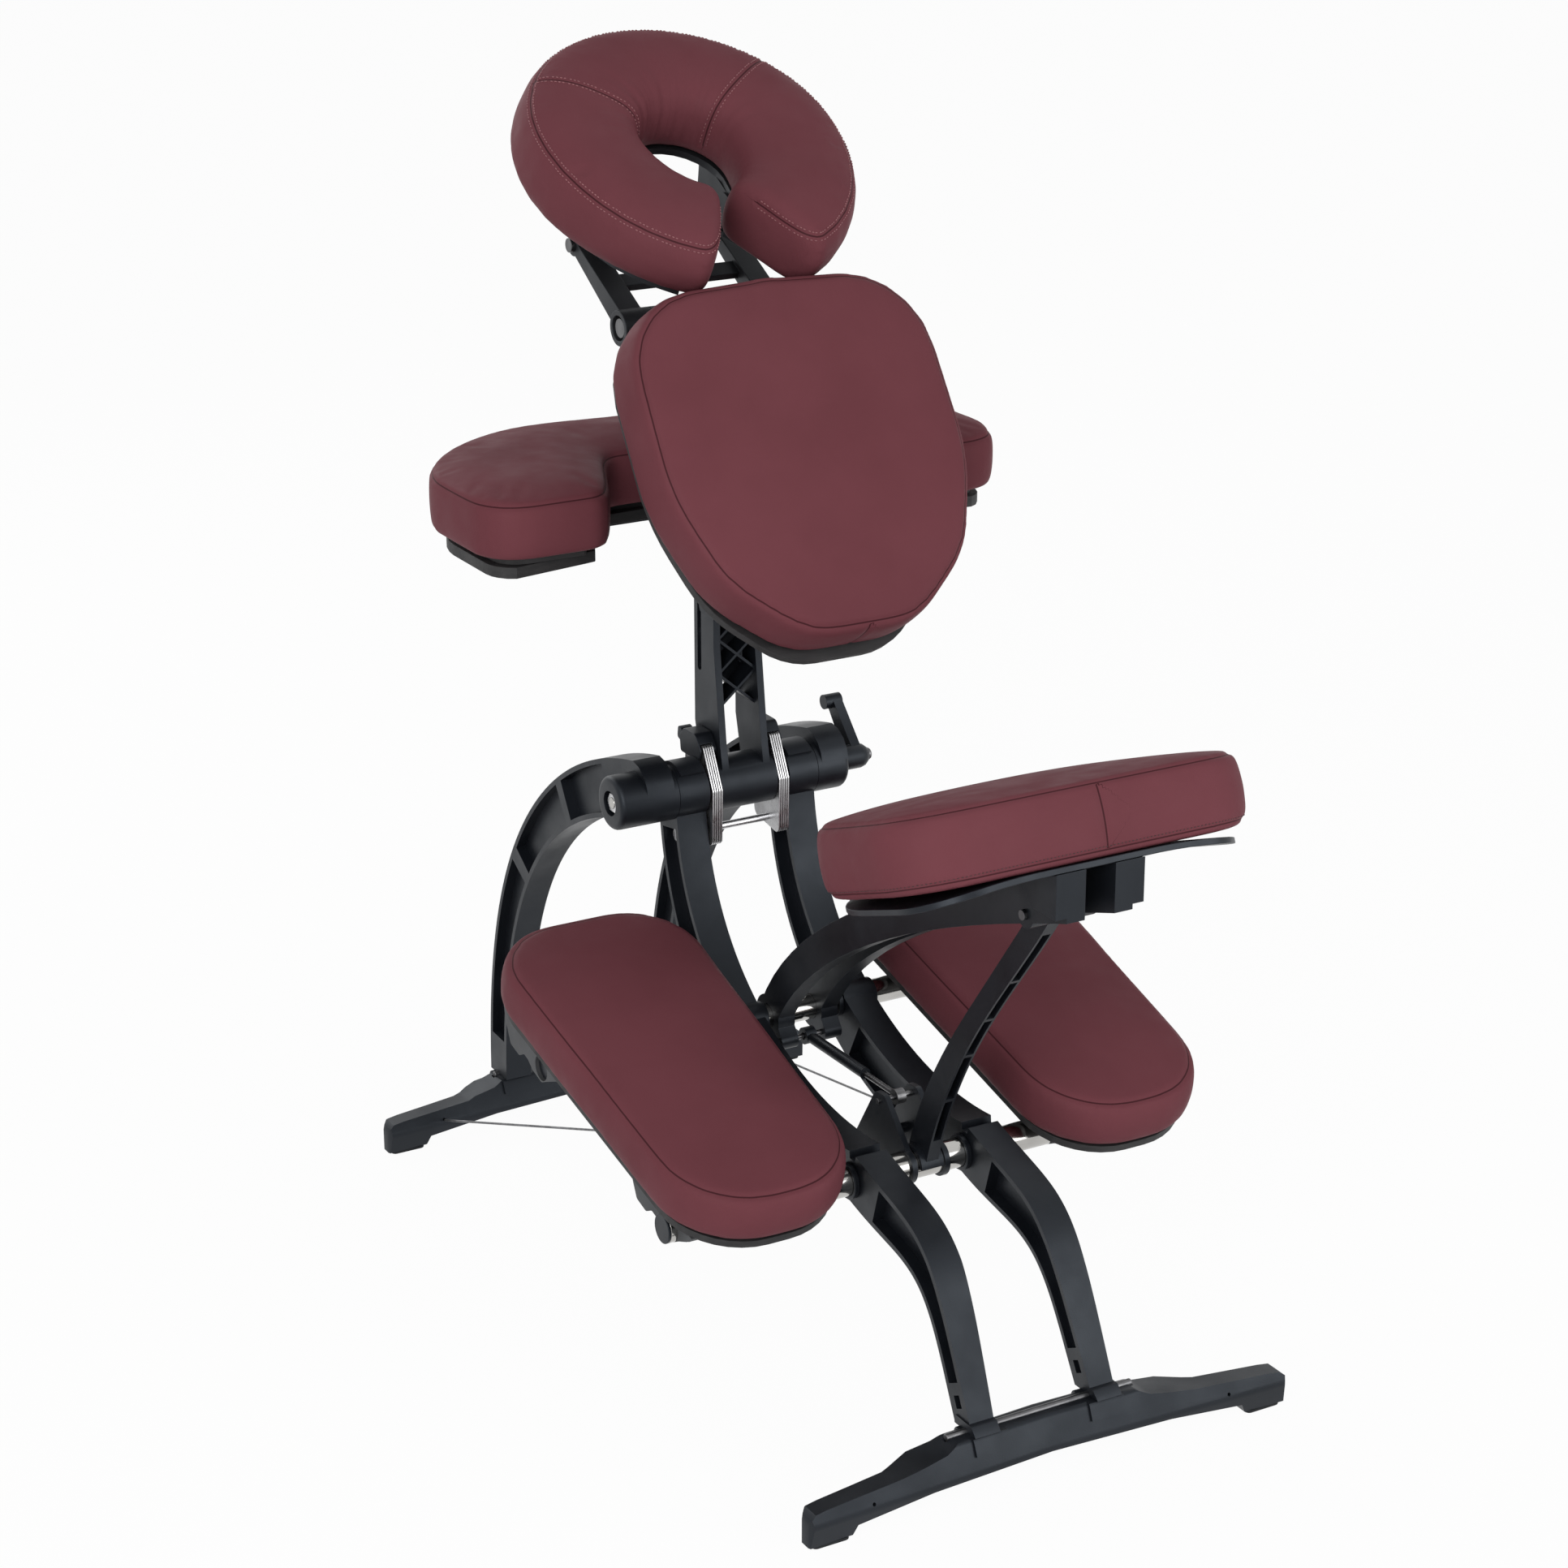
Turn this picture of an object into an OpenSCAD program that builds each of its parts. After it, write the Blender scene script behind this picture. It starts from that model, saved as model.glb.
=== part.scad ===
// Kneeling massage chair: a folding frame of moulded nylon legs on two foot beams,
// a chest post clamped at the hub, knee pads on two cross tubes and a strutted seat.
// Millimetres, Z up, floor at zero. The person faces +Y, X runs across the chair.

/* [Stance] */
// Length of each foot beam across the chair
foot_len = 550; // [480:10:640]
// Front foot beam ahead of the hub axis
front_reach = 364; // [345:1:385]
// Rear foot beam behind the hub axis
rear_reach = 596; // [575:1:615]
// Depth of a foot beam at its middle
foot_deep = 52; // [48:1:60]
// Depth of a foot beam at its ends
foot_end = 25; // [22:1:32]
// Height of a foot beam at its middle
foot_high = 57; // [52:1:66]
// Rearward sweep of the foot ends
foot_sweep = 2.1; // [0:0.1:4]
// Thickness of the rubber glide under each foot end
glide_t = 3; // [2:0.5:5]
// Height of the hub axis, where the frame folds
hub_z = 517; // [500:1:540]
// Rear end of the seat behind the hub axis
seat_out = 670; // [650:1:690]

/* [Frame] */
// Diameter of the hub drums
drum_d = 58; // [52:1:64]
// Diameter of the through shaft at the hub
shaft_d = 12; // [10:1:14]
// Width across X of a rear leg
leg_w = 35; // [32:1:40]
// Width across X of a front leg
arch_w = 32; // [28:1:36]
// Distance of a front leg from the rear leg beside it
arch_step = 5; // [4:1:8]
// Depth of the legs at mid length
leg_deep = 48; // [44:1:52]
// Depth of the legs at the foot
leg_toe = 35; // [30:1:40]
// Thickness of the flanges around the leg recesses
flange_t = 5.5; // [4:0.5:7]
// Depth of the recesses in the leg sides
recess = 13; // [8:1:13]
// Distance of the lower cross tube behind the hub
low_back = 378; // [360:1:395]
// Height of the lower cross tube
low_z = 229; // [220:1:240]
// Diameter of the upper cross tube
up_d = 27; // [25:1:30]
// Diameter of the lower cross tube
low_d = 30; // [27:1:32]
// Half length of both cross tubes
tube_half = 292; // [280:1:300]

/* [Friction clamp] */
// Number of steel plates in each stack
plate_n = 5; // [4:1:6]
// Thickness of one plate
plate_t = 1.6; // [1.2:0.1:2.4]
// Free play between plates
plate_gap = 1; // [0.3:0.1:1.2]
// Diameter of the rod that ties the plates to the legs
tie_d = 8; // [6:0.5:10]

/* [Chest post] */
// Half width of the post barrel on the hub
post_half = 33.5; // [32:0.5:36]
// Half width of the post over its rails
rail_half = 28.5; // [24:0.5:30]
// Width across X of one post rail
rail_w = 8; // [7:0.5:10]
// Height of the post above the hub axis
post_rise = 428; // [410:2:450]
// Height of the chest pad centre above the hub axis
chest_rise = 380; // [370:1:390]
// Chest pad seam behind the hub axis at that height
chest_back = 175; // [170:1:185]
// Lean of the chest pad from upright
chest_lean = 33.2; // [30:0.2:37]
// Half width of the chest pad
chest_half = 174; // [160:1:185]
// Chest pad from its centre to its upper edge
chest_high = 203; // [195:1:210]
// Chest pad from its centre to its lower edge
chest_low = 168; // [160:1:176]
// Thickness of the chest pad at its seam
chest_t = 66; // [58:1:72]

/* [Armrest] */
// Height of the armrest seam above the hub axis
arm_rise = 348; // [338:1:358]
// Half width of the armrest
arm_half = 303; // [285:1:320]
// Thickness of the armrest pad
arm_t = 58; // [50:1:62]
// Thickness of the armrest plate
arm_plate_t = 12; // [9:0.5:14]

/* [Face rest] */
// Lower pivot of the face rest ahead of the hub
face_fwd = 67; // [60:1:75]
// Lower pivot of the face rest above the hub
face_rise = 483; // [475:1:500]
// Outer radius of the face cushion
face_r = 174; // [165:1:182]
// Width of the cushion roll
face_roll = 124; // [114:1:130]
// Thickness of the face cushion
face_t = 72; // [66:1:80]
// Slope of the face cushion above level
face_tilt = 30; // [26:0.2:34]
// Lengthening of the two cheek arms of the cushion
face_long = 1.24; // [1.1:0.02:1.3]

/* [Knee pads] */
// Length of a knee pad
knee_len = 472; // [440:2:490]
// Middle of a knee pad from the chair's middle
knee_x = 207; // [202:1:214]
// Half width of a knee pad at its front end
knee_half = 112; // [102:1:116]
// Narrowing of each side towards the rear
knee_taper = 15; // [0:1:18]
// Thickness of a knee pad
knee_t = 55; // [50:1:57]
// Seam of the knee pad above the plane of the tubes
knee_rise = 80; // [77:1:88]

/* [Seat] */
// Strut pin behind the upper tube
seat_back = 476; // [465:1:485]
// Strut pin above the upper tube
seat_up = 283; // [275:1:292]
// Rear lower edge of the seat above the upper tube
seat_rise = 353; // [346:1:362]
// Half width of the seat
seat_half = 200; // [185:1:220]
// Depth of the seat from front to rear
seat_deep = 258; // [245:2:275]
// Thickness of the seat pad
seat_t = 70; // [62:1:78]
// Forward slope of the seat
seat_tilt = 21; // [18:0.5:23]

/* [Fits] */
// Radial fit of pins and tubes in their bores
fit = 0.05; // [0.02:0.01:0.1]
// Gap between neighbours that move past each other
run = 0.6; // [0.4:0.1:1]
// Gap between a soft pad and the part behind it
rest_gap = 0.4; // [0.3:0.1:0.8]

/* [Hidden] */
$fn = 40;
drum_r = drum_d / 2;
stack_w = plate_n * plate_t + (plate_n - 1) * plate_gap;
stack_in = post_half + run;
leg_in = stack_in + stack_w + 2;
leg_out = leg_in + leg_w;
leg_mid = leg_in + leg_w / 2;
arch_in = leg_out + run;
arch_face = arch_in + arch_step;
arch_out = arch_face + arch_w;
arch_mid = arch_face + arch_w / 2;
dome_out = arch_out + 31;
hub_y = (seat_out - front_reach - foot_deep / 2) / 2;
hub = [hub_y, hub_z];
rear_foot_y = hub_y - rear_reach;
front_foot_y = hub_y + front_reach;
low = [hub_y - low_back, low_z];
toe_z = foot_high + run / 4;
rear_toe = [rear_foot_y + 5, toe_z];
front_toe = [front_foot_y - 9, toe_z];
rear_a = [hub, hub + [-7, -188], low + [191, -19], low];
rear_b = [low, low + [-143, -46], rear_toe + [73, 147], rear_toe];
arch_c = [hub, hub + [164, -28], front_toe + [0, 330], front_toe];
up = bez([hub, hub + [-12, -188], low + [198, 8], low], 0.52);
tie = hub + [-3, -48];
knee_dir = unit(low - up);
knee_tilt = atan2(-knee_dir[1], -knee_dir[0]);
apex = up + [-seat_back, seat_up];
ear = up + [-23, -21];
bracket_top = low + [47, 53];
gas_dir = unit(bracket_top - ear);
gas_len = norm(bracket_top - ear);
gas_ang = atan2(gas_dir[1], gas_dir[0]);
cable_rear = bez(rear_a, 0.83);
cable_d = 2.6;
cable_half = foot_len / 2 - 70;
cable_front = [front_foot_y - foot_deep / 2 - cable_half * tan(foot_sweep), 30];
cable_a = [cable_half, cable_front[0] - 0.6, cable_front[1]];
cable_b = [leg_mid, cable_rear[0] + 12, cable_rear[1] - leg_deep / 2 + 0.8];
chest_c = hub + [-chest_back, chest_rise];
chest_up = [sin(chest_lean), cos(chest_lean)];
chest_n = [-cos(chest_lean), sin(chest_lean)];
chest_plate_t = 10;
post_top = hub_z + post_rise;
post_rear = hub_y - 2;
post_front = hub_y + 40;
arm_seam = hub_z + arm_rise;
arm_low = arm_seam - arm_t;
arm_board_t = 8;
arm_floor = arm_low - rest_gap - arm_board_t - 0.1;
arm_pin = [hub_y + 64, arm_floor - arm_plate_t - 12];
face_pin = hub + [face_fwd, face_rise];
face_u = [cos(face_tilt), sin(face_tilt)];
face_n = [-sin(face_tilt), cos(face_tilt)];
face_o = face_pin + [-40, 156];
yoke_dir = [cos(31), sin(31)];
yoke_len = 128;
ring_pin = face_pin + yoke_len * yoke_dir;
ring_drop = (ring_pin - face_o) * face_n;
seat_n = [sin(seat_tilt), cos(seat_tilt)];

// Which node to draw

// Vectors, curves and outlines
function unit(v) = v / norm(v);
function perp(v) = [-v[1], v[0]];
function bez(p, t) =
  pow(1 - t, 3) * p[0] + 3 * pow(1 - t, 2) * t * p[1]
  + 3 * (1 - t) * t * t * p[2] + pow(t, 3) * p[3];
function bez_dir(p, t) = unit(
  3 * pow(1 - t, 2) * (p[1] - p[0]) + 6 * (1 - t) * t * (p[2] - p[1])
  + 3 * t * t * (p[3] - p[2]));
function rev(v) = [for (i = [len(v) - 1 : -1 : 0]) v[i]];
function mix(a, b, t) = a + (b - a) * t;
// A band of half depth h0 to h1 along a curve between two parameters
function edge(p, t0, t1, h0, h1, n, s) = [for (i = [0 : n])
  let (t = mix(t0, t1, i / n), h = mix(h0, h1, i / n)) bez(p, t) + s * h * perp(bez_dir(p, t))];
function band(p, t0, t1, h0, h1, n) =
  concat(edge(p, t0, t1, h0, h1, n, 1), rev(edge(p, t0, t1, h0, h1, n, -1)));
// A strip along a curve with its own reach to each side, even steps of the curve apart, inset by d
function reach(v, t) = let (k = len(v) - 1, i = min(floor(t * k), k - 1), f = t * k - i,
  a = v[max(i - 1, 0)], b = v[i], c = v[i + 1], e = v[min(i + 2, k)])
  b + 0.5 * f * (c - a + f * (2 * a - 5 * b + 4 * c - e + f * (3 * (b - c) + e - a)));
function strip(p, t0, t1, a, b, d, n) = let (ts = [for (i = [0 : n]) mix(t0, t1, i / n)])
  concat([for (t = ts) bez(p, t) + (reach(a, t) - d) * perp(bez_dir(p, t))],
    rev([for (t = ts) bez(p, t) - (reach(b, t) - d) * perp(bez_dir(p, t))]));
// A corner turned into an arc of n steps
function corner(a, b, c, r, n) =
  let (u = unit(a - b), v = unit(c - b), half = acos(max(-0.999, min(0.999, u * v))) / 2,
       reach = r / tan(half), mid = b + unit(u + v) * (r / sin(half)),
       p0 = b + u * reach - mid, p1 = b + v * reach - mid,
       a0 = atan2(p0[1], p0[0]), turn = atan2(p1[1], p1[0]) - a0,
       sweep = turn > 180 ? turn - 360 : (turn < -180 ? turn + 360 : turn))
  [for (i = [0 : n]) mid + r * [cos(a0 + sweep * i / n), sin(a0 + sweep * i / n)]];
function rounded(p, r, n) = [for (i = [0 : len(p) - 1])
  each corner(p[(i + len(p) - 1) % len(p)], p[i], p[(i + 1) % len(p)], r[i], n)];
function grow(p, d) = [for (i = [0 : len(p) - 1])
  p[i] + d * unit(perp(p[(i + len(p) - 1) % len(p)] - p[(i + 1) % len(p)]))];

// Extrude a Y-Z outline across X
module across(x0, x1) translate([x0, 0, 0]) rotate([90, 0, 90]) linear_extrude(x1 - x0) children();
// A cylinder along X through a Y-Z point
module bar(p, d, x0, x1) translate([x0, p[0], p[1]]) rotate([0, 90, 0]) cylinder(d = d, h = x1 - x0);
// Put children made in pad coordinates (x across, y along dir, z out) on a tilted plane
module on_plane(o, lean) translate([0, o[0], o[1]]) rotate([lean, 0, 0]) children();
module both() { children(); mirror([1, 0, 0]) children(); }
module side(s) { if (s > 0) children(); else mirror([1, 0, 0]) children(); }

// Close a stack of equal rings into one soft solid
module skin(rings) {
  k = len(rings);
  n = len(rings[0]);
  polyhedron(
    points = [for (r = rings) each r],
    faces = concat(
      [[for (i = [0 : n - 1]) i]],
      [for (j = [0 : k - 2]) for (i = [0 : n - 1]) let (m = (i + 1) % n, a = j * n + i, b = j * n + m)
        each [[a, a + n, b + n], [a, b + n, b]]],
      [[for (i = [n - 1 : -1 : 0]) (k - 1) * n + i]]));
}
// Heights and insets of an upholstered pad: drawn in at the board, full at the side, crowned on top
function pad_rows(t, crown) = [
  [-t, 9], [-t + 3, 4], [-t * 0.82, 1], [-t * 0.5, 0], [-t * 0.2, 1], [-3, 3], [0, 6],
  [crown * 0.3, 14], [crown * 0.62, 30], [crown * 0.88, 52], [crown, 78]];
// An outline drawn in towards a centre, row by row
module pad_to(outline, centre, reach, t, crown) {
  skin([for (w = pad_rows(t, crown)) let (k = 1 - w[1] / reach)
    [for (c = outline) [centre[0] + (c[0] - centre[0]) * k, centre[1] + (c[1] - centre[1]) * k, w[0]]]]);
}

// Foot beams: boat shaped, ends swept back and narrowed, blocks at the ends, raised between
foot_half = foot_len / 2;
foot_rod_d = 8;
foot_rod_z = foot_high - 1;
function mirrored(p) = concat(p, [for (i = [len(p) - 1 : -1 : 0]) [-p[i][0], p[i][1]]]);
module foot_front(ridge) polygon(mirrored([[0, 23], [foot_half - 138, 21], [foot_half - 53, 13],
  [foot_half - 48, glide_t], [foot_half, glide_t], [foot_half, foot_high - 29],
  [foot_half - 2, foot_high - 24], [foot_half - 7, foot_high - 20], [foot_half - 20, foot_high - 18.5],
  [foot_half - 60, foot_high - 16.5], [foot_half - 105, foot_high - 14], [ridge + 36, foot_high - 11],
  [ridge + 10, foot_high - 7], [ridge + 1, foot_high - 3], [ridge - 6, foot_high]]));
foot_sect = let (h = foot_deep / 2) rounded(
  [[-h + 5, 0], [h - 5, 0], [h, 26], [h - 13, foot_high], [-h + 13, foot_high], [-h, 26]],
  [2, 2, 14, 7, 7, 14], 5);
collar_t = 2.5;
// Front face of the beam, swept back over its outer half
module foot_top() {
  h = foot_deep / 2;
  back = -h - foot_half * tan(foot_sweep);
  polygon(mirrored([[0, -foot_deep], [foot_half - 12, -foot_deep], [foot_half, back + 7],
    [foot_half, back + foot_end - 6], [foot_half - 6, back + foot_end],
    [foot_half - 95, back + foot_end + 8], [foot_half - 165, h + 1], [0, h + 1]]));
}
module foot(y, ridge, leg_x) translate([0, y, 0]) difference() {
  union() {
    intersection() {
      translate([0, foot_deep, 0]) rotate([90, 0, 0]) linear_extrude(2 * foot_deep) foot_front(ridge);
      linear_extrude(foot_high + 1) foot_top();
      both() rotate(-foot_sweep) rotate([90, 0, 90]) translate([0, 0, -2]) linear_extrude(foot_half + 6)
        polygon(foot_sect);
    }
    both() rotate(-foot_sweep) rotate([90, 0, 90]) translate([0, 0, leg_x - 20]) linear_extrude(40)
      intersection() {
        polygon(grow(foot_sect, collar_t));
        translate([-foot_deep, foot_high - 16]) square([2 * foot_deep, 15.9]);
      }
  }
  bar([0, foot_rod_z], foot_rod_d + 2 * fit, -ridge - 2, ridge + 2);
  both() translate([cable_half, 0, 30]) rotate([90, 0, 0]) cylinder(d = cable_d + 1, h = 2 * foot_deep,
    center = true);
}
module glides(y) both() translate([foot_half - 25, y - foot_deep / 2 - foot_half * tan(foot_sweep) + 14, 0])
  linear_extrude(glide_t - 0.1)
    polygon(rounded([[-20, -9], [20, -9], [20, 8], [-20, 11]], [5, 5, 5, 5], 5));
module foot_rod(y, ridge) bar([y, foot_rod_z], foot_rod_d, -ridge, ridge);
module shoe(x, toe, foot_y) across(x - 15, x + 15) polygon(rounded([
  [foot_y - 19, toe_z], [foot_y + 19, toe_z], [toe[0] + leg_toe / 2 - 2, toe_z + 9],
  [toe[0] - leg_toe / 2 + 2, toe_z + 9]], [0.5, 0.5, 3, 3], 3));
module leg_clear() translate([-400, -700, toe_z - 100]) cube([800, 1400, 100]);

toe_taper = 8;

// Rear legs: I-section with a channel along each side and a square pocket above the foot
leg_k = leg_deep / 48;
rear_over = leg_k * [21, 27, 29, 23];
rear_under = leg_k * [17.5, 19, 27.5, 30.5];
heel_over = [rear_over[3], leg_k * 13.5, leg_k * 12.5, leg_toe * 0.42];
heel_under = [rear_under[3], leg_k * 32, leg_k * 18, leg_toe * 0.36];
rear_runs = [[0.07, 0.43], [0.6, 0.9]];
heel_run = [0.12, 0.9];
heel_pocket = [0.93, 0.96];
module channel(outline, x0, x1, deep) {
  across(x0 - 1, x0 + deep) polygon(outline);
  across(x1 - deep, x1 + 1) polygon(outline);
}
module rear_leg() {
  difference() {
    union() {
      across(leg_in, leg_out) polygon(strip(rear_a, 0, 1, rear_over, rear_under, 0, 36));
      across(leg_in, leg_out) polygon(strip(rear_b, 0, 1, heel_over, heel_under, 0, 36));
      bar(hub, drum_d, leg_in, leg_out);
      bar(up, up_d + 10, leg_in, leg_out);
      bar(low, low_d + 16, leg_in, leg_out);
      shoe(leg_mid + toe_taper / 2, rear_toe, rear_foot_y);
      across(leg_in + 2, leg_out - 4) polygon(concat([hub],
        [for (a = [28 : 8 : 132]) hub + (drum_r + 4) * [cos(a), sin(a)]]));
    }
    leg_clear();
    translate([0, low[0] + 40, 0]) rotate([90, 0, 0]) linear_extrude(rear_reach)
      polygon([[leg_in - 1, 0], [leg_in + toe_taper, 0], [leg_in + toe_taper, toe_z],
        [leg_in, low_z - low_d], [leg_in - 1, low_z - low_d]]);
    for (w = rear_runs) channel(strip(rear_a, w[0], w[1], rear_over, rear_under, flange_t, 14),
      leg_in, leg_out, recess);
    channel(strip(rear_b, heel_run[0], heel_run[1], heel_over, heel_under, flange_t, 26), leg_in,
      leg_out, recess);
    channel(band(rear_b, heel_pocket[0], heel_pocket[1], 5, 5, 1), leg_in, leg_out, recess);
    bar(hub, shaft_d + 2 * fit, leg_in - 1, leg_out + 1);
    bar(up, up_d + 2 * fit, leg_in - 1, leg_out + 1);
    bar(low, low_d + 2 * fit, leg_in - 1, leg_out + 1);
    bar(tie, tie_d + 2 * fit, leg_in - 1, leg_out + 1);
    bar([rear_foot_y, foot_rod_z], foot_rod_d + 2 * fit, leg_in - 1, leg_out + 4);
    between(cable_a, mix(cable_a, cable_b, 1.003), cable_d + 0.5);
  }
}

// Front legs: arched I-section with two ribs across each channel, the hub drums and a domed end on the left
arch_runs = [[0.14, 0.335], [0.36, 0.605], [0.635, 0.95]];
arch_over = [leg_deep * 0.84, leg_deep * 0.57, leg_toe * 0.77];
arch_under = [leg_deep * 0.56, leg_deep * 0.485, leg_toe * 0.42];
module drum(x0, x1, r, round_r) {
  translate([x0, hub[0], hub[1]]) rotate([0, 90, 0]) rotate_extrude($fn = 64)
    polygon(concat([[0, 0], [r, 0]],
      [for (a = [0 : 15 : 90]) [r - round_r + round_r * cos(a), x1 - x0 - round_r + round_r * sin(a)]],
      [[0, x1 - x0]]));
}
drum_end = arch_out + 2;
nut_w = 19;
nut_t = 9;
module front_leg(x_end, recess_end) {
  difference() {
    union() {
      across(arch_face, arch_out) polygon(strip(arch_c, 0, 1, arch_over, arch_under, 0, 44));
      across(arch_face, arch_out) polygon(concat([hub],
        [for (a = [80 : 20 : 160]) hub + mix(arch_over[0], drum_r, (a - 80) / 80) * [cos(a), sin(a)]]));
      drum(arch_in, x_end, drum_r, 6);
      shoe(arch_mid, front_toe, front_foot_y);
    }
    leg_clear();
    for (w = arch_runs) channel(strip(arch_c, w[0], w[1], arch_over, arch_under, flange_t, 14),
      arch_face, arch_out, recess * arch_w / leg_w);
    bar(hub, shaft_d + 2 * fit, arch_in - 1, x_end + 1);
    if (recess_end > 0) bar(hub, nut_w + 8, x_end - recess_end, x_end + 1);
    bar([front_foot_y, foot_rod_z], foot_rod_d + 2 * fit, arch_in - 1, arch_out + 1);
  }
}

// Cross tubes, collars and end plugs
tube_wall = 2.5;
module tube(p, d) difference() {
  bar(p, d, -tube_half, tube_half);
  bar(p, d - 2 * tube_wall, -tube_half - 1, tube_half + 1);
}
module collar(p, d, x0, x1) difference() {
  bar(p, d + 7, x0, x1);
  bar(p, d + 2 * fit, x0 - 1, x1 + 1);
}
module tube_collars() color([0.14, 0.14, 0.15]) both() {
  for (x = [[leg_in - 6, leg_in - 0.2], [leg_out + 0.2, leg_out + 6]]) {
    collar(up, up_d, x[0], x[1]);
    collar(low, low_d, x[0], x[1]);
  }
}
module plug(p, d) {
  bar(p, d, tube_half + 0.1, tube_half + 3);
  bar(p, d - 2 * tube_wall - 2 * fit, tube_half - 12, tube_half + 1);
}
module tube_plugs() color([0.1, 0.1, 0.11]) both() {
  plug(up, up_d);
  plug(low, low_d);
}

// Hub shaft, its nut and the rod that ties the plates
lever_x = drum_end + run;
lever_long = 40;
shaft_left = -dome_out + 2;
module hub_shaft() color([0.7, 0.71, 0.73]) bar(hub, shaft_d, shaft_left, lever_x + lever_long - 9);
module hub_nut() color([0.72, 0.73, 0.75]) difference() {
  translate([-dome_out + 3, hub[0], hub[1]]) rotate([0, 90, 0]) rotate(30)
    cylinder(d = nut_w / cos(30), h = nut_t, $fn = 6);
  bar(hub, shaft_d + 2 * fit, -dome_out - 1, -arch_out);
}
module tie_rod() color([0.75, 0.76, 0.78]) {
  bar(tie, tie_d, -leg_out + recess - 3, leg_out - recess + 3);
  both() bar(tie, tie_d + 6, leg_out - recess + 0.1, leg_out - recess + 5.5);
}

// Friction plates and their caps
module plate_outline() {
  polygon(rounded([hub + [-29, -60], hub + [23, -52], hub + [30, 6], hub + [30, 40], hub + [20, 47],
    hub + [-9, 47], hub + [-30.5, 3]], [7, 9, 8, 5, 4, 4, 5], 4));
}
module stack() {
  for (i = [0 : plate_n - 1]) difference() {
    across(stack_in + i * (plate_t + plate_gap), stack_in + i * (plate_t + plate_gap)
      + plate_t) plate_outline();
    bar(hub, shaft_d + 2 * fit, 0, leg_out);
    bar(tie, tie_d + 2 * fit, 0, leg_out);
  }
}
cap_base = hub_z + drum_r + run;
cap_slot = hub_z + 47 + run;
cap_in = rail_half + run;
module cap() difference() {
  union() {
    across(cap_in, leg_in + 1) polygon(rounded([
      [hub_y - 6, cap_base], [hub_y + 35, cap_base], [hub_y + 37, cap_base + 17], [hub_y + 28,
        cap_base + 28],
      [hub_y + 2, cap_base + 28], [hub_y - 10, cap_base + 12]], [3, 4, 6, 8, 8, 5], 4));
    across(cap_in + 4, leg_in - 1) polygon(rounded([
      [hub_y + 30, cap_base + 8], [hub_y + 46, cap_base + 12], [hub_y + 44, cap_base + 26],
      [hub_y + 36, cap_base + 24]], [2, 4, 3, 3], 4));
  }
  across(stack_in - run, leg_in - 1) polygon([[hub_y - 30, cap_base - 1], [hub_y + 31, cap_base - 1],
    [hub_y + 31, cap_slot], [hub_y - 30, cap_slot]]);
}

// Bracket on the lower tube that holds the seat's gas spring
bracket_in = 16;
bracket_t = 6;
bracket_front = low + [92, -17];
module anchor_bracket() color([0.12, 0.12, 0.13]) difference() {
  union() {
    both() {
      across(bracket_in, bracket_in + bracket_t)
        polygon(rounded([low + [-8, 14], bracket_top + [-9, 9], bracket_top + [9, 7],
          bracket_front + [10, 3],
          bracket_front + [-2, -9], low + [0, -14]], [4, 8, 7, 8, 7, 5], 5));
      bar(low, low_d + 7, bracket_in, bracket_in + bracket_t);
    }
    bar(low + [58, 10], 11, -bracket_in - 1, bracket_in + 1);
  }
  bar(low, low_d + 2 * fit, -40, 40);
  bar(bracket_top, 6 + 2 * fit, -40, 40);
  bar(bracket_front, 6 + 2 * fit, -40, 40);
}
module bracket_pins() color([0.72, 0.73, 0.75]) for (p = [bracket_top, bracket_front]) {
  bar(p, 6, -bracket_in - bracket_t - 3, bracket_in + bracket_t + 3);
}

// Knee pads: saddles on the tubes, board, cushion
board_t = 8;
knee_floor = knee_rise - knee_t - rest_gap;
knee_yc = 131 - knee_len / 2;
tube_span = norm(low - up);
module knee_place() on_plane(up, knee_tilt) children();
function knee_outline(d) = let (a = knee_half - d, b = knee_half - knee_taper - d, h = knee_len / 2 - d)
  rounded([[a, knee_yc + h * 0.86] + [knee_x, h * 0.14], [knee_x - a, knee_yc + h],
    [knee_x - b, knee_yc - h], [knee_x + b, knee_yc - h]], [77 - d, 77 - d, 88 - d, 88 - d], 9);
module saddle(y, d, x_end) {
  floor_z = knee_floor - board_t - 0.1;
  difference() {
    union() {
      for (x = [knee_x - 60, knee_x - 5, x_end - 24])
        across(x, x + 24) polygon(rounded([[y - 40, floor_z], [y - 32, 7], [y - 18, -4], [y - 4,
          -d / 2 - 2],
          [y + 17, -d / 2 - 2], [y + 29, -11], [y + 38, -11], [y + 48, -20], [y + 68, -20], [y + 84, -2],
          [y + 94, floor_z]], [1, 6, 5, 6, 6, 4, 4, 5, 5, 5, 1], 3));
      across(knee_x - 60, x_end) polygon([[y - 38, floor_z], [y - 35, floor_z - 7],
        [y + 86, floor_z - 7], [y + 92, floor_z]]);
    }
    bar([y, 0], d + 2 * fit, knee_x - 100, knee_x + 110);
  }
}
module knee_saddles() knee_place() {
  saddle(0, up_d, knee_x + 92);
  saddle(-tube_span, low_d, knee_x + 78);
}
module knee_plate() knee_place() translate([0, 0, knee_floor - board_t])
  linear_extrude(board_t) polygon(knee_outline(9));
module knee_cushion() knee_place() translate([0, 0, knee_rise])
  pad_to(knee_outline(0), [knee_x, knee_yc], knee_half * 1.1, knee_t, 10);

// Stay cables between the front foot and the rear legs
module between(a, b, d) {
  v = b - a;
  translate(a) rotate([0, acos(v[2] / norm(v)), atan2(v[1], v[0])]) cylinder(d = d, h = norm(v));
}
module stay_cables() color([0.45, 0.46, 0.48]) both()
  between(cable_a, cable_b, cable_d);

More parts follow.
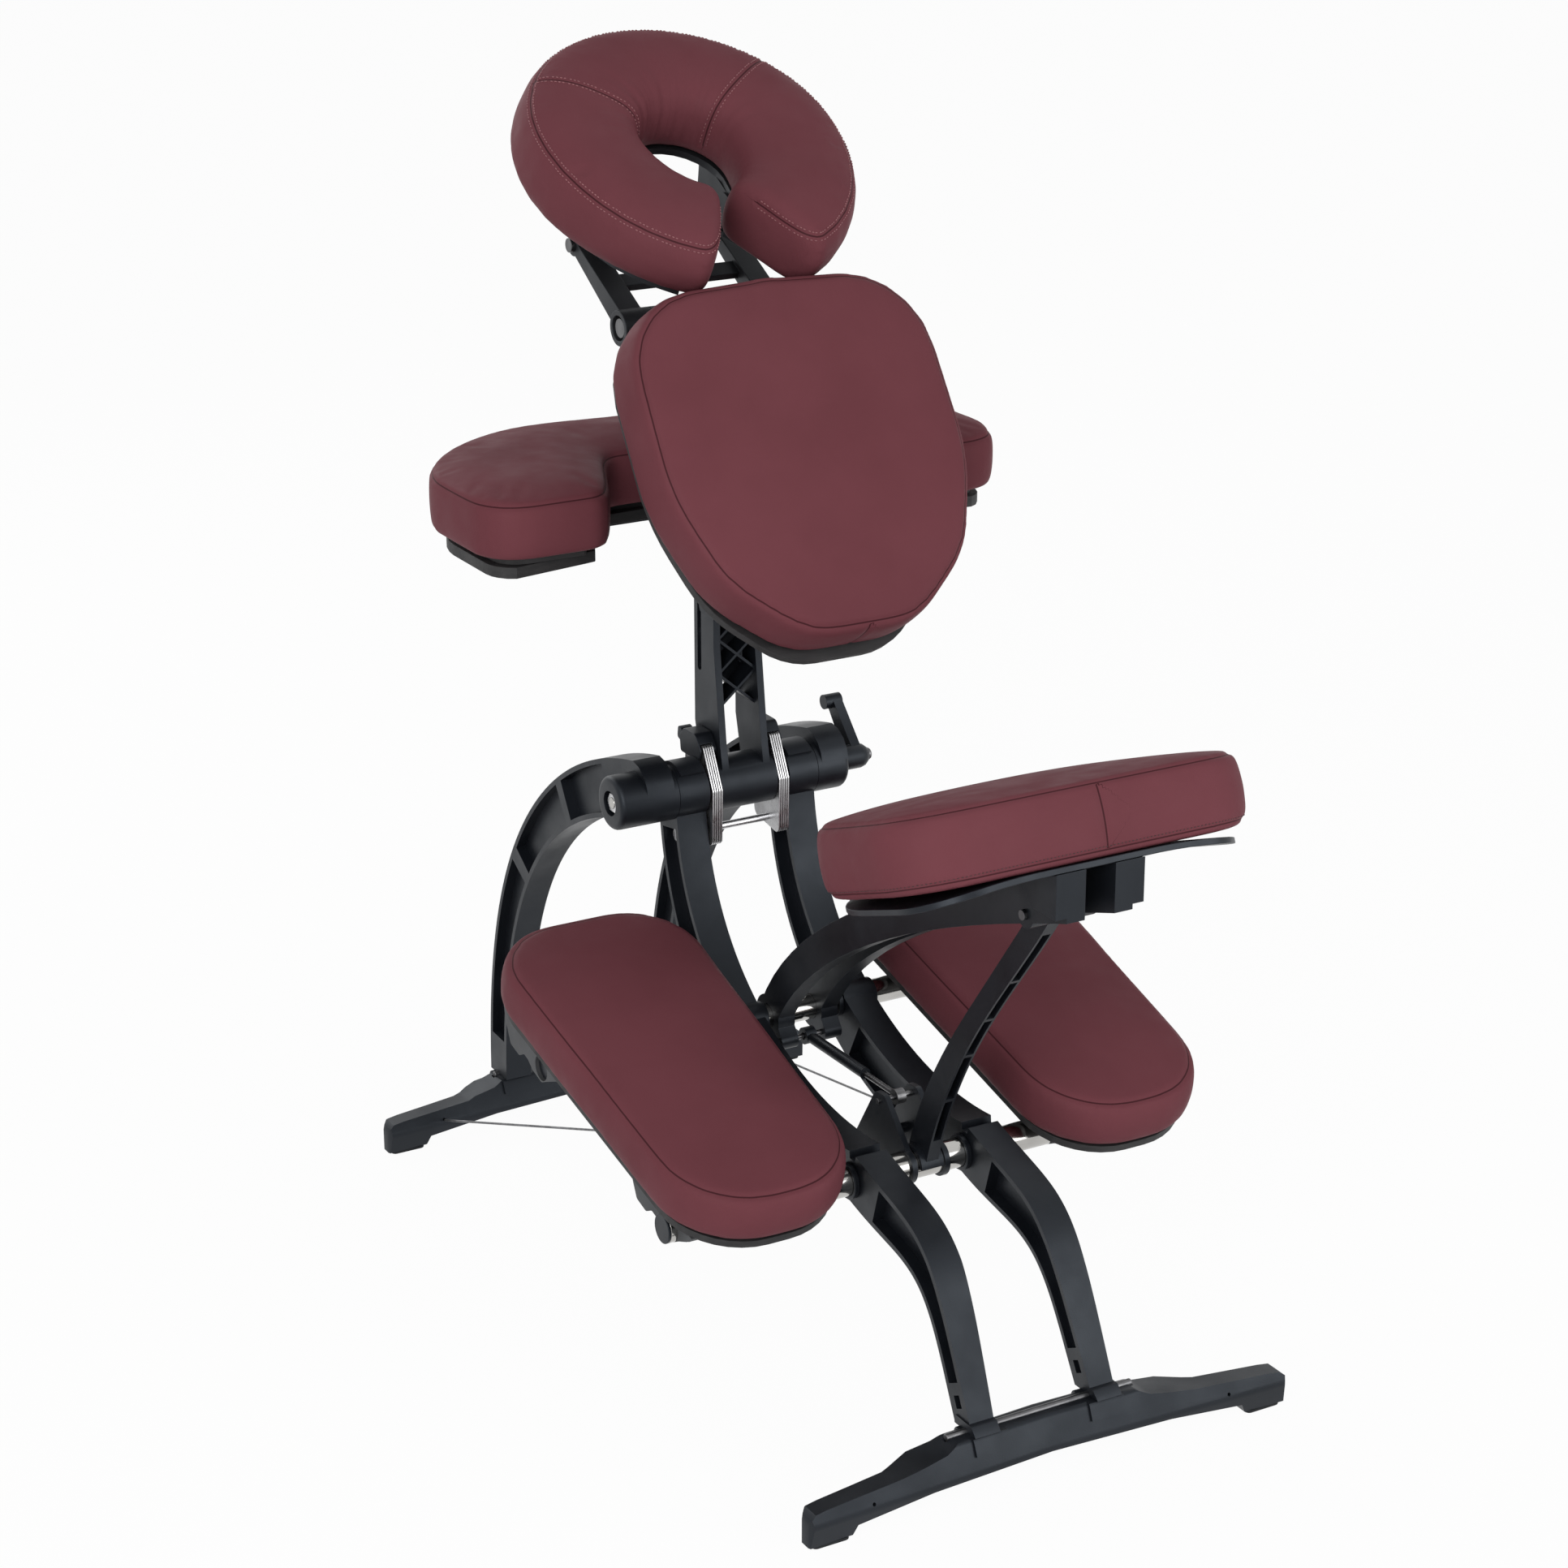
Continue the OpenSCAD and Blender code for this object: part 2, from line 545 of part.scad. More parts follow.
// Clamp lever on the hub
lever_dir = unit([46, 53]);
module clamp_lever() color([0.08, 0.08, 0.09]) difference() {
  union() {
    translate([lever_x, hub[0], hub[1]]) rotate([0, 90, 0]) rotate_extrude($fn = 48)
      polygon([[0, 0], [13.5, 0], [13.5, lever_long - 14], [12, lever_long - 9], [8, lever_long - 4],
        [0, lever_long - 4]]);
    across(lever_x + lever_long - 24, lever_x + lever_long - 13) polygon(rounded([
      hub - 11 * perp(lever_dir), hub + 70 * lever_dir - 7 * perp(lever_dir),
      hub + 76 * lever_dir, hub + 70 * lever_dir + 7 * perp(lever_dir), hub + 11 * perp(lever_dir)],
      [1, 4, 5, 4, 1], 4));
    bar(hub + 67 * lever_dir, 16, lever_x + lever_long - 32, lever_x + lever_long - 12);
  }
  bar(hub, shaft_d + 2 * fit, 0, lever_x + lever_long - 8.5);
}
module lever_screw() color([0.3, 0.3, 0.32]) difference() {
  translate([lever_x + lever_long - 3.9, hub[0], hub[1]]) rotate([0, 90, 0]) rotate_extrude()
    polygon([[0, 0], [6.5, 0], [6.5, 2.5], [5.5, 4], [0, 4]]);
  translate([lever_x + lever_long - 2, hub[0], hub[1]]) rotate([0, 90, 0]) cylinder(d = 6, h = 4, $fn = 6);
}

// Chest post: two rails, lattice at the rear, web at the front, barrel on the hub
rail_in = rail_half - rail_w;
lattice_z = hub_z + 101;
lattice_n = 8;
cell = (post_top - 61 - lattice_z) / (lattice_n - 1);
rib_rise = cell - 3;
slot_y = post_front - 11;
slot_d = 7;
module chest_post() color([0.11, 0.11, 0.12]) difference() {
  union() {
    bar(hub, drum_d, -post_half, post_half);
    both() across(rail_in, rail_half) polygon([[hub_y - 25, hub_z], [hub_y + 25, hub_z],
      [post_front, hub_z + 60], [post_front, post_top], [post_rear, post_top], [post_rear, hub_z + 150],
      [hub_y - 15, hub_z + 46]]);
    translate([0, post_front, 0]) rotate([90, 0, 0]) linear_extrude(6)
      polygon([[-rail_in - 1, lattice_z - cell / 2], [0, lattice_z], [rail_in + 1, lattice_z - cell / 2],
        [rail_in + 1, post_top - 4], [-rail_in - 1, post_top - 4]]);
    for (i = [0 : lattice_n - 1]) for (s = [-1, 1])
      translate([0, post_rear + 1, lattice_z + i * cell]) rotate([0, s * atan2(rib_rise, 2 * rail_in), 0])
        translate([-norm([rib_rise, 2 * rail_in]) / 2 - 2.5, 0, -1.4])
          cube([norm([rib_rise, 2 * rail_in]) + 5, i < 3 ? slot_y - 6 - post_rear : 8, 2.8]);
  }
  bar(hub, shaft_d + 2 * fit, -post_half - 1, post_half + 1);
  for (x = [-rail_half - 1, rail_in - 1]) across(x, x + rail_w + 2)
    polygon(rounded([[slot_y - 4, hub_z + 118], [slot_y + 4, hub_z + 118],
      [slot_y + 4, hub_z + 306], [slot_y - 4, hub_z + 306]], [3.9, 3.9, 3.9, 3.9], 6));
}

// Chest carriage, its lock knob, board and cushion
cheek_in = rail_half + run;
cheek_out = cheek_in + 6;
carriage_low = hub_z + 186;
carriage_top = hub_z + 384;
bridge_rear = post_rear - 13;
plate_back = chest_c - (chest_t + rest_gap + chest_plate_t) * chest_n;
module chest_carriage() color([0.1, 0.1, 0.11]) difference() {
  union() {
    both() across(cheek_in, cheek_out) polygon(rounded([[bridge_rear, carriage_low],
      [post_rear + 19, carriage_low], [post_rear + 19, carriage_top], [bridge_rear, carriage_top]],
      [4, 8, 8, 4], 4));
    across(-cheek_out, cheek_out) polygon([[bridge_rear, carriage_low], [post_rear - run, carriage_low],
      [post_rear - run, carriage_top], [bridge_rear, carriage_top]]);
    both() across(20, 30) polygon([[bridge_rear + 1, carriage_low + 25], [bridge_rear + 1, carriage_top],
      plate_back + 96 * chest_up, plate_back - 96 * chest_up]);
  }
  bar([post_rear + 4, hub_z + 270], 8 + 2 * fit, 0, cheek_out + 1);
}
module carriage_knob() color([0.08, 0.08, 0.09]) {
  bar([post_rear + 4, hub_z + 270], 8, cheek_in + 2.8, cheek_out + 4);
  translate([cheek_out + 2, post_rear + 4, hub_z + 270]) rotate([0, 90, 0]) rotate_extrude()
    polygon([[0, 0], [9, 0], [9, 4], [16, 6], [16, 18], [13, 21], [0, 21]]);
}
function chest_outline(d) = let (w = chest_half - d, t = chest_high - d, b = chest_low - d)
  rounded([[w, -b * 0.05], [w - 3, t - 4], [0, t + 4], [-w + 3, t - 4], [-w, -b * 0.05],
    [-w * 0.8, -b * 0.62], [-w * 0.36, -b], [w * 0.36, -b], [w * 0.8, -b * 0.62]],
    [200, 90 - d, 300, 90 - d, 200, 120, 90, 90, 120], 5);
module chest_place() on_plane(chest_c, 90 - chest_lean) children();
module chest_plate() color([0.07, 0.07, 0.08]) chest_place()
  translate([0, 0, -chest_t - rest_gap - chest_plate_t]) linear_extrude(chest_plate_t)
    polygon([for (c = chest_outline(10)) [c[0], c[1] < 0 ? c[1] * 1.11 : c[1]]]);
module chest_cushion() color([0.45, 0.26, 0.29]) chest_place()
  pad_to(chest_outline(0), [0, 14], chest_half * 1.05, chest_t, 9);

// Armrest: slider on the post, hinged bracket, plate and cushion
slider_low = hub_z + 236;
slider_top = hub_z + 290;
slider_front = post_front + 12;
module arm_slider() color([0.1, 0.1, 0.11]) difference() {
  union() {
    both() across(cheek_in, cheek_out) polygon([[post_rear + 23, slider_low], [slider_front, slider_low],
      [slider_front, slider_top], [post_rear + 23, slider_top]]);
    across(-cheek_out, cheek_out) polygon([[post_front + run, slider_low], [slider_front, slider_low],
      [slider_front, slider_top], [post_front + run, slider_top]]);
    both() across(22, cheek_out) polygon(rounded([[slider_front - 1, slider_low + 4], arm_pin + [6, -10],
      arm_pin + [11, 2], arm_pin + [0, 11], [slider_front - 1, slider_top - 8]], [1, 8, 8, 8, 1], 4));
  }
  bar([slot_y, hub_z + 253], slot_d + 2 * fit, -60, 60);
  bar(arm_pin, 8 + 2 * fit, -60, 60);
}
module slider_bolt() color([0.7, 0.71, 0.73]) {
  bar([slot_y, hub_z + 253], slot_d, -cheek_out - 4, cheek_out + 4);
  bar(arm_pin, 8, -cheek_out - 2, cheek_out + 2);
}
module arm_bracket() color([0.1, 0.1, 0.11]) difference() {
  union() {
    across(-21, 21) polygon(rounded([arm_pin + [-10, -4], arm_pin + [0, -11], arm_pin + [30, -8],
      [hub_y + 190, arm_floor - arm_plate_t - 10], [hub_y + 196, arm_floor - arm_plate_t - 0.1],
      arm_pin + [8, 11.5], arm_pin + [-4, 10]], [4, 6, 20, 3, 0.5, 2, 4], 3));
    across(-95, 95) polygon([[hub_y + 118, arm_floor - arm_plate_t - 9], [hub_y + 150,
      arm_floor - arm_plate_t - 9],
      [hub_y + 154, arm_floor - arm_plate_t - 0.1], [hub_y + 114, arm_floor - arm_plate_t - 0.1]]);
  }
  bar(arm_pin, 8 + 2 * fit, -60, 60);
}
// Wings at the sides, a notch round the post, a gentle point at the front
arm_wing = hub_y - 54;
arm_notch = hub_y + 78;
arm_nose = hub_y + 234;
arm_round = 50;
arm_soft = 1.7;
function clamp(t) = max(0, min(1, t));
function smooth(t) = clamp(t) * clamp(t) * (3 - 2 * clamp(t));
function arm_rear(x) = mix(arm_notch, arm_wing, smooth((abs(x) - 96) / 88)) + arm_round
  - sqrt(pow(arm_round, 2) - pow(max(0, abs(x) - arm_half + arm_round), 2));
function arm_front(x) = let (u = clamp((abs(x) - 125) / (arm_half - 125)))
  arm_nose - 5 + 12 * smooth(abs(x) / 118) - 168 * (1 - pow(1 - pow(u, arm_soft), 1 / arm_soft));
arm_steps = [0, 40, 80, 98, 110, 122, 134, 146, 158, 170, 184, 208, 234, 256, 273, 286, 296, 301, 303];
function arm_at(i) = arm_half * arm_steps[abs(i)] / 303 * sign(i);
arm_n = len(arm_steps) - 1;
arm_edge = concat([for (i = [-arm_n : arm_n]) [arm_at(i), arm_rear(arm_at(i))]],
  [for (i = [arm_n : -1 : -arm_n]) [arm_at(i), arm_front(arm_at(i))]]);
module arm_plate() color([0.09, 0.09, 0.1]) translate([0, 0, arm_floor - arm_plate_t])
  linear_extrude(arm_plate_t) polygon([for (c = grow(arm_edge, -16))
    [c[0], max(c[1], arm_wing + 14 + 0.16 * (arm_half - abs(c[0])))]]);
module arm_board() color([0.07, 0.07, 0.08]) translate([0, 0, arm_floor + 0.1])
  linear_extrude(arm_board_t) polygon(grow(arm_edge, -24));
// Section of the pad from its rear to its front edge: drawn in below, crowned on top
arm_rows = [[9, -1], [3, -0.93], [0, -0.6], [0, -0.3], [2, -0.08], [7, 0], [16, 0.07], [32, 0.12]];
function arm_loop(x, k) = let (r = arm_rear(x), f = arm_front(x), m = min(1, (f - r) / 90)) concat(
  [for (w = rev(arm_rows)) [x, r + w[0] * m, arm_t * mix(-0.45, w[1], k)]],
  [for (w = arm_rows) [x, f - w[0] * m, arm_t * mix(-0.45, w[1], k)]]);
arm_close = [0.78, 0.9, 0.96];
function arm_squeeze(i) = abs(i) > arm_n - 3 ? arm_close[arm_n - abs(i)] : 1;
module arm_cushion() color([0.45, 0.26, 0.29]) translate([0, 0, arm_seam])
  skin([for (i = [-arm_n : arm_n]) arm_loop(arm_at(i), arm_squeeze(i))]);

// Face rest: stem in the post, yoke, ring and horseshoe cushion
barrel_d = 37;
barrel_half = 62;
stem_rear = post_rear + 10;
stem_front = post_rear + 26;
module cradle_stem() color([0.1, 0.1, 0.11]) difference() {
  union() {
    across(-rail_in + run, rail_in - run) polygon(rounded([[stem_rear, hub_z + 316], [stem_front,
      hub_z + 316],
      [stem_front, post_top + 4], face_pin + [2, -16], face_pin + [-12, 12], [stem_rear, post_top + 22]],
      [3, 3, 22, 4, 4, 20], 5));
    bar(face_pin, barrel_d, -barrel_half, barrel_half);
  }
  bar(face_pin, 10 + 2 * fit, -barrel_half - 1, barrel_half + 1);
}
eye_in = barrel_half + run;
eye_out = eye_in + 36;
module cradle_bolt() color([0.2, 0.21, 0.22]) {
  bar(face_pin, 10, -eye_out + 4, eye_out - 4);
  both() bar(face_pin, 20, eye_out - 7, eye_out - 2);
}
yoke_in = eye_in + 6;
yoke_out = yoke_in + 25;
module cradle_yoke() color([0.2, 0.21, 0.21]) difference() {
  union() {
    both() {
      bar(face_pin, barrel_d, eye_in, eye_out);
      across(yoke_in, yoke_out) polygon([face_pin - 12 * perp(yoke_dir), ring_pin - 7 * perp(yoke_dir),
        ring_pin + 7 * perp(yoke_dir), face_pin + 12 * perp(yoke_dir)]);
      bar(ring_pin, 24, yoke_in, yoke_out);
    }
    across(-yoke_in - 1, yoke_in + 1) polygon([for (c = [[56, -5], [74, -5], [74, 4], [56, 4]])
      face_pin + c[0] * yoke_dir + c[1] * perp(yoke_dir)]);
  }
  bar(face_pin, 10 + 2 * fit, -eye_out - 1, eye_out + 1);
  both() bar(face_pin, 26, eye_out - 8, eye_out + 1);
  bar(ring_pin, 8 + 2 * fit, -eye_out - 1, eye_out + 1);
}
module yoke_pin() color([0.3, 0.31, 0.32]) {
  bar(ring_pin, 8, -yoke_out - 2, yoke_out + 2);
  both() bar(ring_pin, 15, yoke_out + 0.5, yoke_out + 5);
}
// Horseshoe path from the left tip round the top to the right tip, in ring coordinates
face_mid = face_r - face_roll / 2;
face_sc = 72;
face_turn = 158;
function face_pt(a) = [face_mid * sin(a), face_sc + face_mid * cos(a) * (cos(a) < 0 ? face_long : 1)];
function face_tan(a) = unit(face_pt(a + 1) - face_pt(a - 1));
module face_place() on_plane(face_o, face_tilt) children();
ring_t = 8;
ring_top = -face_t - rest_gap;
ring_pin_s = (ring_pin - face_o) * face_u;
function ring_edge(h) = [for (i = [0 : 24]) let (a = mix(-face_turn + 4, face_turn - 4, i / 24))
  face_pt(a) + h * perp(face_tan(a))];
module cradle_ring() color([0.06, 0.06, 0.07]) difference() {
  union() {
    face_place() translate([0, 0, ring_top - ring_t]) linear_extrude(ring_t)
      polygon(concat(ring_edge(36), rev(ring_edge(-55))));
    face_place() both() {
      across(yoke_in - 13, yoke_in - run) polygon([[ring_pin_s - 46, ring_top - ring_t + 1],
        [ring_pin_s + 40, ring_top - ring_t + 1], [ring_pin_s + 12, ring_drop + 3], [ring_pin_s - 10,
          ring_drop - 3],
        [ring_pin_s - 46, ring_top - ring_t - 20]]);
      bar([ring_pin_s, ring_drop], 24, yoke_in - 13, yoke_in - run);
      bar([ring_pin_s - 34, ring_top - ring_t - 12], 30, yoke_in - 17, yoke_in - run);
    }
  }
  face_place() bar([ring_pin_s, ring_drop], 8 + 2 * fit, -90, 90);
}
// Section of the roll: flat at the ring, full at the sides, crowned on top, drawn in under the tips
face_tuck = 0.18;
function roll(k, q) = let (h = face_roll / 2) [for (c = [
  [-0.76, -1], [-0.92, -0.93], [-0.99, -0.74], [-1, -0.5], [-0.97, -0.26], [-0.86, -0.07], [-0.66, 0.04],
  [-0.36, 0.1], [0, 0.12], [0.36, 0.11], [0.66, 0.06], [0.86, -0.04], [0.97, -0.22], [1 + 0.03 * (1 - q),
    -0.48],
  [1.05 - q * 0.6 * face_tuck, -0.75], [0.95 - q * face_tuck, -0.94], [0.74 - q * face_tuck, -1]])
  [c[0] * h * k, -face_t * 0.5 + (c[1] + 0.5) * face_t * (k < 1 ? mix(0.55, 1, (k - 0.4) / 0.6) : 1)]];
face_ends = [[0.6, 15], [0.82, 12], [0.95, 6]];
function face_ring(a, k, push) = let (p = face_pt(a), t = face_tan(a), m = perp(t),
  q = smooth((abs(a) - 95) / 45))
  [for (c = roll(k, q)) [p[0] + m[0] * c[0] + t[0] * push, p[1] + m[1] * c[0] + t[1] * push, max(c[1],
    -face_t)]];
module face_cushion() color([0.45, 0.26, 0.29]) face_place() skin(concat(
  [for (e = face_ends) face_ring(-face_turn, e[0], -e[1])],
  [for (i = [0 : 34]) face_ring(mix(-face_turn, face_turn, i / 34), 1, 0)],
  [for (i = [2 : -1 : 0]) face_ring(face_turn, face_ends[i][0], face_ends[i][1])]));

// Seat: arms on the upper tube, strut to the lower tube, gas spring, shell and cushion
arm_in = 16;
arm_out = 36;
seat_o = [hub_y - seat_out, up[1] + seat_rise];
seat_end = seat_o + [-12, -32];
seat_arm_c = [up, up + [-62, 121], seat_end + [272, -90], seat_end];
shell_t = 6;
seat_lean = -seat_tilt;
function seat_pt(f, n) = seat_o + f * [cos(seat_tilt), -sin(seat_tilt)] + n * seat_n;
module seat_place() on_plane(seat_o, seat_lean) children();
seat_under = -rest_gap - shell_t - 0.2;
module seat_arms() color([0.1, 0.1, 0.11]) difference() {
  union() {
    both() {
      across(arm_in, arm_out) polygon(band(seat_arm_c, 0, 1, 17, 19, 18));
      bar(up, up_d + 20, arm_in, arm_out);
      bar(apex, 27, arm_in, arm_out);
      bar(ear, 18, arm_in, arm_out);
      across(arm_in, arm_out) polygon([up + [-14, 6], up + [6, -14], ear + [5, -7], ear + [-7, 5]]);
      across(arm_in, arm_out) polygon([seat_pt(-20, seat_under), seat_pt(205, seat_under),
        bez(seat_arm_c, 0.74), bez(seat_arm_c, 0.86), seat_end]);
      across(arm_in + 2, arm_in + 32) polygon([seat_pt(-20, seat_under), seat_pt(64, seat_under),
        seat_pt(56, seat_under - 26), seat_end + [10, -19], seat_end + [0, -18]]);
    }
    for (t = [0.34, 0.62]) bar(bez(seat_arm_c, t) + [6, 8], 12, -arm_in - 1, arm_in + 1);
  }
  bar(up, up_d + 2 * fit, -60, 60);
  bar(apex, 10 + 2 * fit, -60, 60);
  bar(ear, 6 + 2 * fit, -60, 60);
  translate([-60, seat_o[0] - 100, seat_o[1] - 100]) cube([120, 100, 200]);
}
module seat_pins() color([0.7, 0.71, 0.73]) {
  bar(apex, 10, -arm_out - 4, arm_out + 4);
  bar(ear, 6, -arm_out - 2, arm_out + 2);
}
function shell_drop(x) = 15 * pow(max(0, abs(x) - 60) / (seat_half - 60), 2);
function seat_outline(d) = let (w = seat_half - d) rounded([[w, d], [w - 13, seat_deep - d],
  [-w + 13, seat_deep - d], [-w, d]], [65 - d, 120 - d, 120 - d, 65 - d], 9);
module seat_shell() color([0.07, 0.07, 0.08]) seat_place() intersection() {
  translate([0, seat_deep + 20, 0]) rotate([90, 0, 0]) linear_extrude(seat_deep + 40) polygon(concat(
    [for (i = [-12 : 12]) let (x = seat_half * i / 12) [x, -rest_gap - shell_drop(x)]],
    [for (i = [12 : -1 : -12]) let (x = seat_half * i / 12) [x, -rest_gap - shell_t - shell_drop(x)]]));
  translate([0, 0, -60]) linear_extrude(80) polygon([for (c = seat_outline(5)) [c[0] * 0.92, c[1]]]);
}
module seat_cushion() color([0.45, 0.26, 0.29]) seat_place() translate([0, 0, seat_t])
  pad_to(seat_outline(0), [0, seat_deep / 2], seat_deep / 2 * 1.05, seat_t, 8);
strut_half = 13;
strut_blade = 7;
strut_c = [apex, apex + [65, -100], low + [-36, 134], low];
strut_over = [19.5, 16.7, 18];
strut_under = [5.4, 6.1, 16];
saddle_gap = 0.6;
module seat_strut() color([0.1, 0.1, 0.11]) difference() {
  union() {
    across(-strut_blade, strut_blade) polygon(strip(strut_c, 0, 0.97, strut_over, strut_under, 0, 30));
    bar(apex, 27, -strut_half, strut_half);
    bar(low, low_d + 12, -strut_half, strut_half);
  }
  bar(apex, 10 + 2 * fit, -40, 40);
  bar(low, low_d + 2 * saddle_gap, -40, 40);
  across(-40, 40) polygon(concat([low], [for (a = [176 : 23.6 : 412]) low + 60 * [cos(a), sin(a)]]));
  for (w = [[0.1, 0.3], [0.31, 0.46], [0.47, 0.6], [0.61, 0.76], [0.77, 0.9]])
    across(2.6 - strut_blade, strut_blade - 2.6)
      polygon(strip(strut_c, w[0], w[1], [4, 4, 4], strut_under + [1, 1, 1], 0, 6));
}
module along_gas() translate([0, ear[0], ear[1]]) rotate([gas_ang, 0, 0]) rotate([-90, 0, 0]) children();
gas_rod_d = 6;
module gas_rod() color([0.75, 0.76, 0.78]) difference() {
  union() {
    bar(bracket_top, 16, -5, 5);
    along_gas() translate([0, 0, 62]) cylinder(d = gas_rod_d, h = gas_len - 64);
  }
  bar(bracket_top, 6 + 2 * fit, -10, 10);
}
ear_play = 1;
module gas_cylinder() color([0.09, 0.09, 0.1]) difference() {
  union() {
    bar(ear, 18, -6, 6);
    along_gas() translate([0, 0, 6]) cylinder(d = 9, h = 10);
    along_gas() translate([0, 0, 12]) cylinder(d = 12, h = 104);
  }
  bar(ear, 6 + 2 * ear_play, -10, 10);
  along_gas() translate([0, 0, 46]) cylinder(d = gas_rod_d + 2 * fit, h = 80);
}

// Named nodes, left is -X
nylon = [0.12, 0.12, 0.13];
vinyl = [0.45, 0.26, 0.29];
steel = [0.78, 0.79, 0.81];
module rear_leg_left() color(nylon) side(-1) rear_leg();
module rear_leg_right() color(nylon) side(1) rear_leg();
rear_ridge = leg_out + 24;
front_ridge = arch_out + 5;
module rear_foot() color(nylon) foot(rear_foot_y, rear_ridge, leg_mid + 2);
module front_foot() color(nylon) foot(front_foot_y, front_ridge, arch_mid);
module rear_glides() color([0.06, 0.06, 0.06]) glides(rear_foot_y);
module front_glides() color([0.06, 0.06, 0.06]) glides(front_foot_y);
module rear_foot_rod() color([0.2, 0.2, 0.21]) foot_rod(rear_foot_y, rear_ridge);
module front_foot_rod() color([0.2, 0.2, 0.21]) foot_rod(front_foot_y, front_ridge);
module upper_tube() color(steel) tube(up, up_d);
module lower_tube() color(steel) tube(low, low_d);
module plates_left() color(steel) side(-1) stack();
module plates_right() color(steel) side(1) stack();
module cap_left() color([0.07, 0.07, 0.08]) side(-1) cap();
module cap_right() color([0.07, 0.07, 0.08]) side(1) cap();
module knee_saddles_left() color([0.2, 0.2, 0.21]) side(-1) knee_saddles();
module knee_saddles_right() color([0.2, 0.2, 0.21]) side(1) knee_saddles();
module knee_plate_left() color([0.09, 0.09, 0.1]) side(-1) knee_plate();
module knee_plate_right() color([0.09, 0.09, 0.1]) side(1) knee_plate();
module knee_cushion_left() color(vinyl) side(-1) knee_cushion();
module knee_cushion_right() color(vinyl) side(1) knee_cushion();
module front_leg_left() color(nylon) side(-1) front_leg(dome_out, nut_t + 4);
module front_leg_right() color(nylon) side(1) front_leg(drum_end, 0);

rear_leg_left();
rear_leg_right();
rear_foot();
rear_glides();
rear_foot_rod();
upper_tube();
lower_tube();
tube_collars();
tube_plugs();
hub_shaft();
hub_nut();
tie_rod();
plates_left();
plates_right();
cap_left();
cap_right();
anchor_bracket();
bracket_pins();
knee_saddles_left();
knee_saddles_right();
knee_plate_left();
knee_plate_right();
knee_cushion_left();
knee_cushion_right();
stay_cables();
front_leg_left();
front_leg_right();
front_foot();
front_glides();
front_foot_rod();
clamp_lever();
lever_screw();
chest_post();
chest_carriage();
carriage_knob();
chest_plate();
chest_cushion();
arm_slider();
slider_bolt();
arm_bracket();
arm_plate();
arm_board();
arm_cushion();
cradle_stem();
cradle_bolt();
cradle_yoke();
yoke_pin();
cradle_ring();
face_cushion();
seat_arms();
seat_pins();
seat_shell();
seat_cushion();
seat_strut();
gas_rod();
gas_cylinder();
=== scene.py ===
import math

import bmesh
import bpy
import numpy as np
from mathutils import Matrix, Vector
from mathutils.bvhtree import BVHTree
from mathutils.kdtree import KDTree


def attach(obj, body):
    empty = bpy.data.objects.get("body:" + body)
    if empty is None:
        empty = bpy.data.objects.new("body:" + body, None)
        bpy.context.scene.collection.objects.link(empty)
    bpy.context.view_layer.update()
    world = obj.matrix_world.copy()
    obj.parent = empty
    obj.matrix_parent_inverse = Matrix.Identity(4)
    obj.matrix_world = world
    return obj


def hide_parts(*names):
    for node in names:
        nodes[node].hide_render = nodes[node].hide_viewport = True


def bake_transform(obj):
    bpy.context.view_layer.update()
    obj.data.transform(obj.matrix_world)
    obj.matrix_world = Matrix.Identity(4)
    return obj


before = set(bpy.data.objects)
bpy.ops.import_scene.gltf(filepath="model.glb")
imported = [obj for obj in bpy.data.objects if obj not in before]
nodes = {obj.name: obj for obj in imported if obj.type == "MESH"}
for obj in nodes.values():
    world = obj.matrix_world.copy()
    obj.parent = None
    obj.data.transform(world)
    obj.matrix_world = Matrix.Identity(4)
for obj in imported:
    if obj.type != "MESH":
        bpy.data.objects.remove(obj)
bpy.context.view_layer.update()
scene = bpy.context.scene
scene.view_settings.view_transform = "Standard"


# ---------------------------------------------------------------- small helpers

MM = 0.001
SAME_POINT = 0.00002


def pad_plane(y, z, lean):
    """A pad's own frame: x across, y along the pad, z out of its face. In millimetres and degrees."""
    c, s = math.cos(math.radians(lean)), math.sin(math.radians(lean))
    return Matrix(((1, 0, 0, 0), (0, c, -s, y * MM), (0, s, c, z * MM), (0, 0, 0, 1)))


CHEST = pad_plane(-35, 897, 56.8)
KNEE = pad_plane(12.449, 299.908, 15.81)
SEAT = pad_plane(-530, 652.9, -21)
ARM = pad_plane(0, 0, 0)
FACE = pad_plane(167, 1156, 30)


def placed(name, data):
    """A new object in the scene, at the origin."""
    made = bpy.data.objects.new(name, data)
    scene.collection.objects.link(made)
    return made


def mesh_from(name, bm):
    """A mesh made from a bmesh, which is freed."""
    mesh = bpy.data.meshes.new(name)
    bm.to_mesh(mesh)
    bm.free()
    return mesh


def new_piece(name, bm, material, body):
    """A mesh object at the origin, with its place in its mesh, riding on a body if one is named."""
    piece = placed(name, mesh_from(name, bm))
    piece.data.materials.append(material)
    if body:
        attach(piece, body)
    return piece


def smooth_faces(piece):
    """Smooth shading on every face."""
    piece.data.polygons.foreach_set("use_smooth", [True] * len(piece.data.polygons))


def baked(piece):
    """The mesh with its modifiers applied, put back on the piece."""
    mesh = bpy.data.meshes.new_from_object(piece.evaluated_get(bpy.context.evaluated_depsgraph_get()))
    piece.modifiers.clear()
    old = piece.data
    piece.data = mesh
    bpy.data.meshes.remove(old)


def vectors_of(mesh, field):
    """Each vertex's place ("co") or its normal ("normal"), one row for each."""
    rows = np.empty(len(mesh.vertices) * 3)
    mesh.vertices.foreach_get(field, rows)
    return rows.reshape(-1, 3)


def move_to(mesh, co):
    """Puts the vertices at these places."""
    mesh.vertices.foreach_set("co", co.ravel())


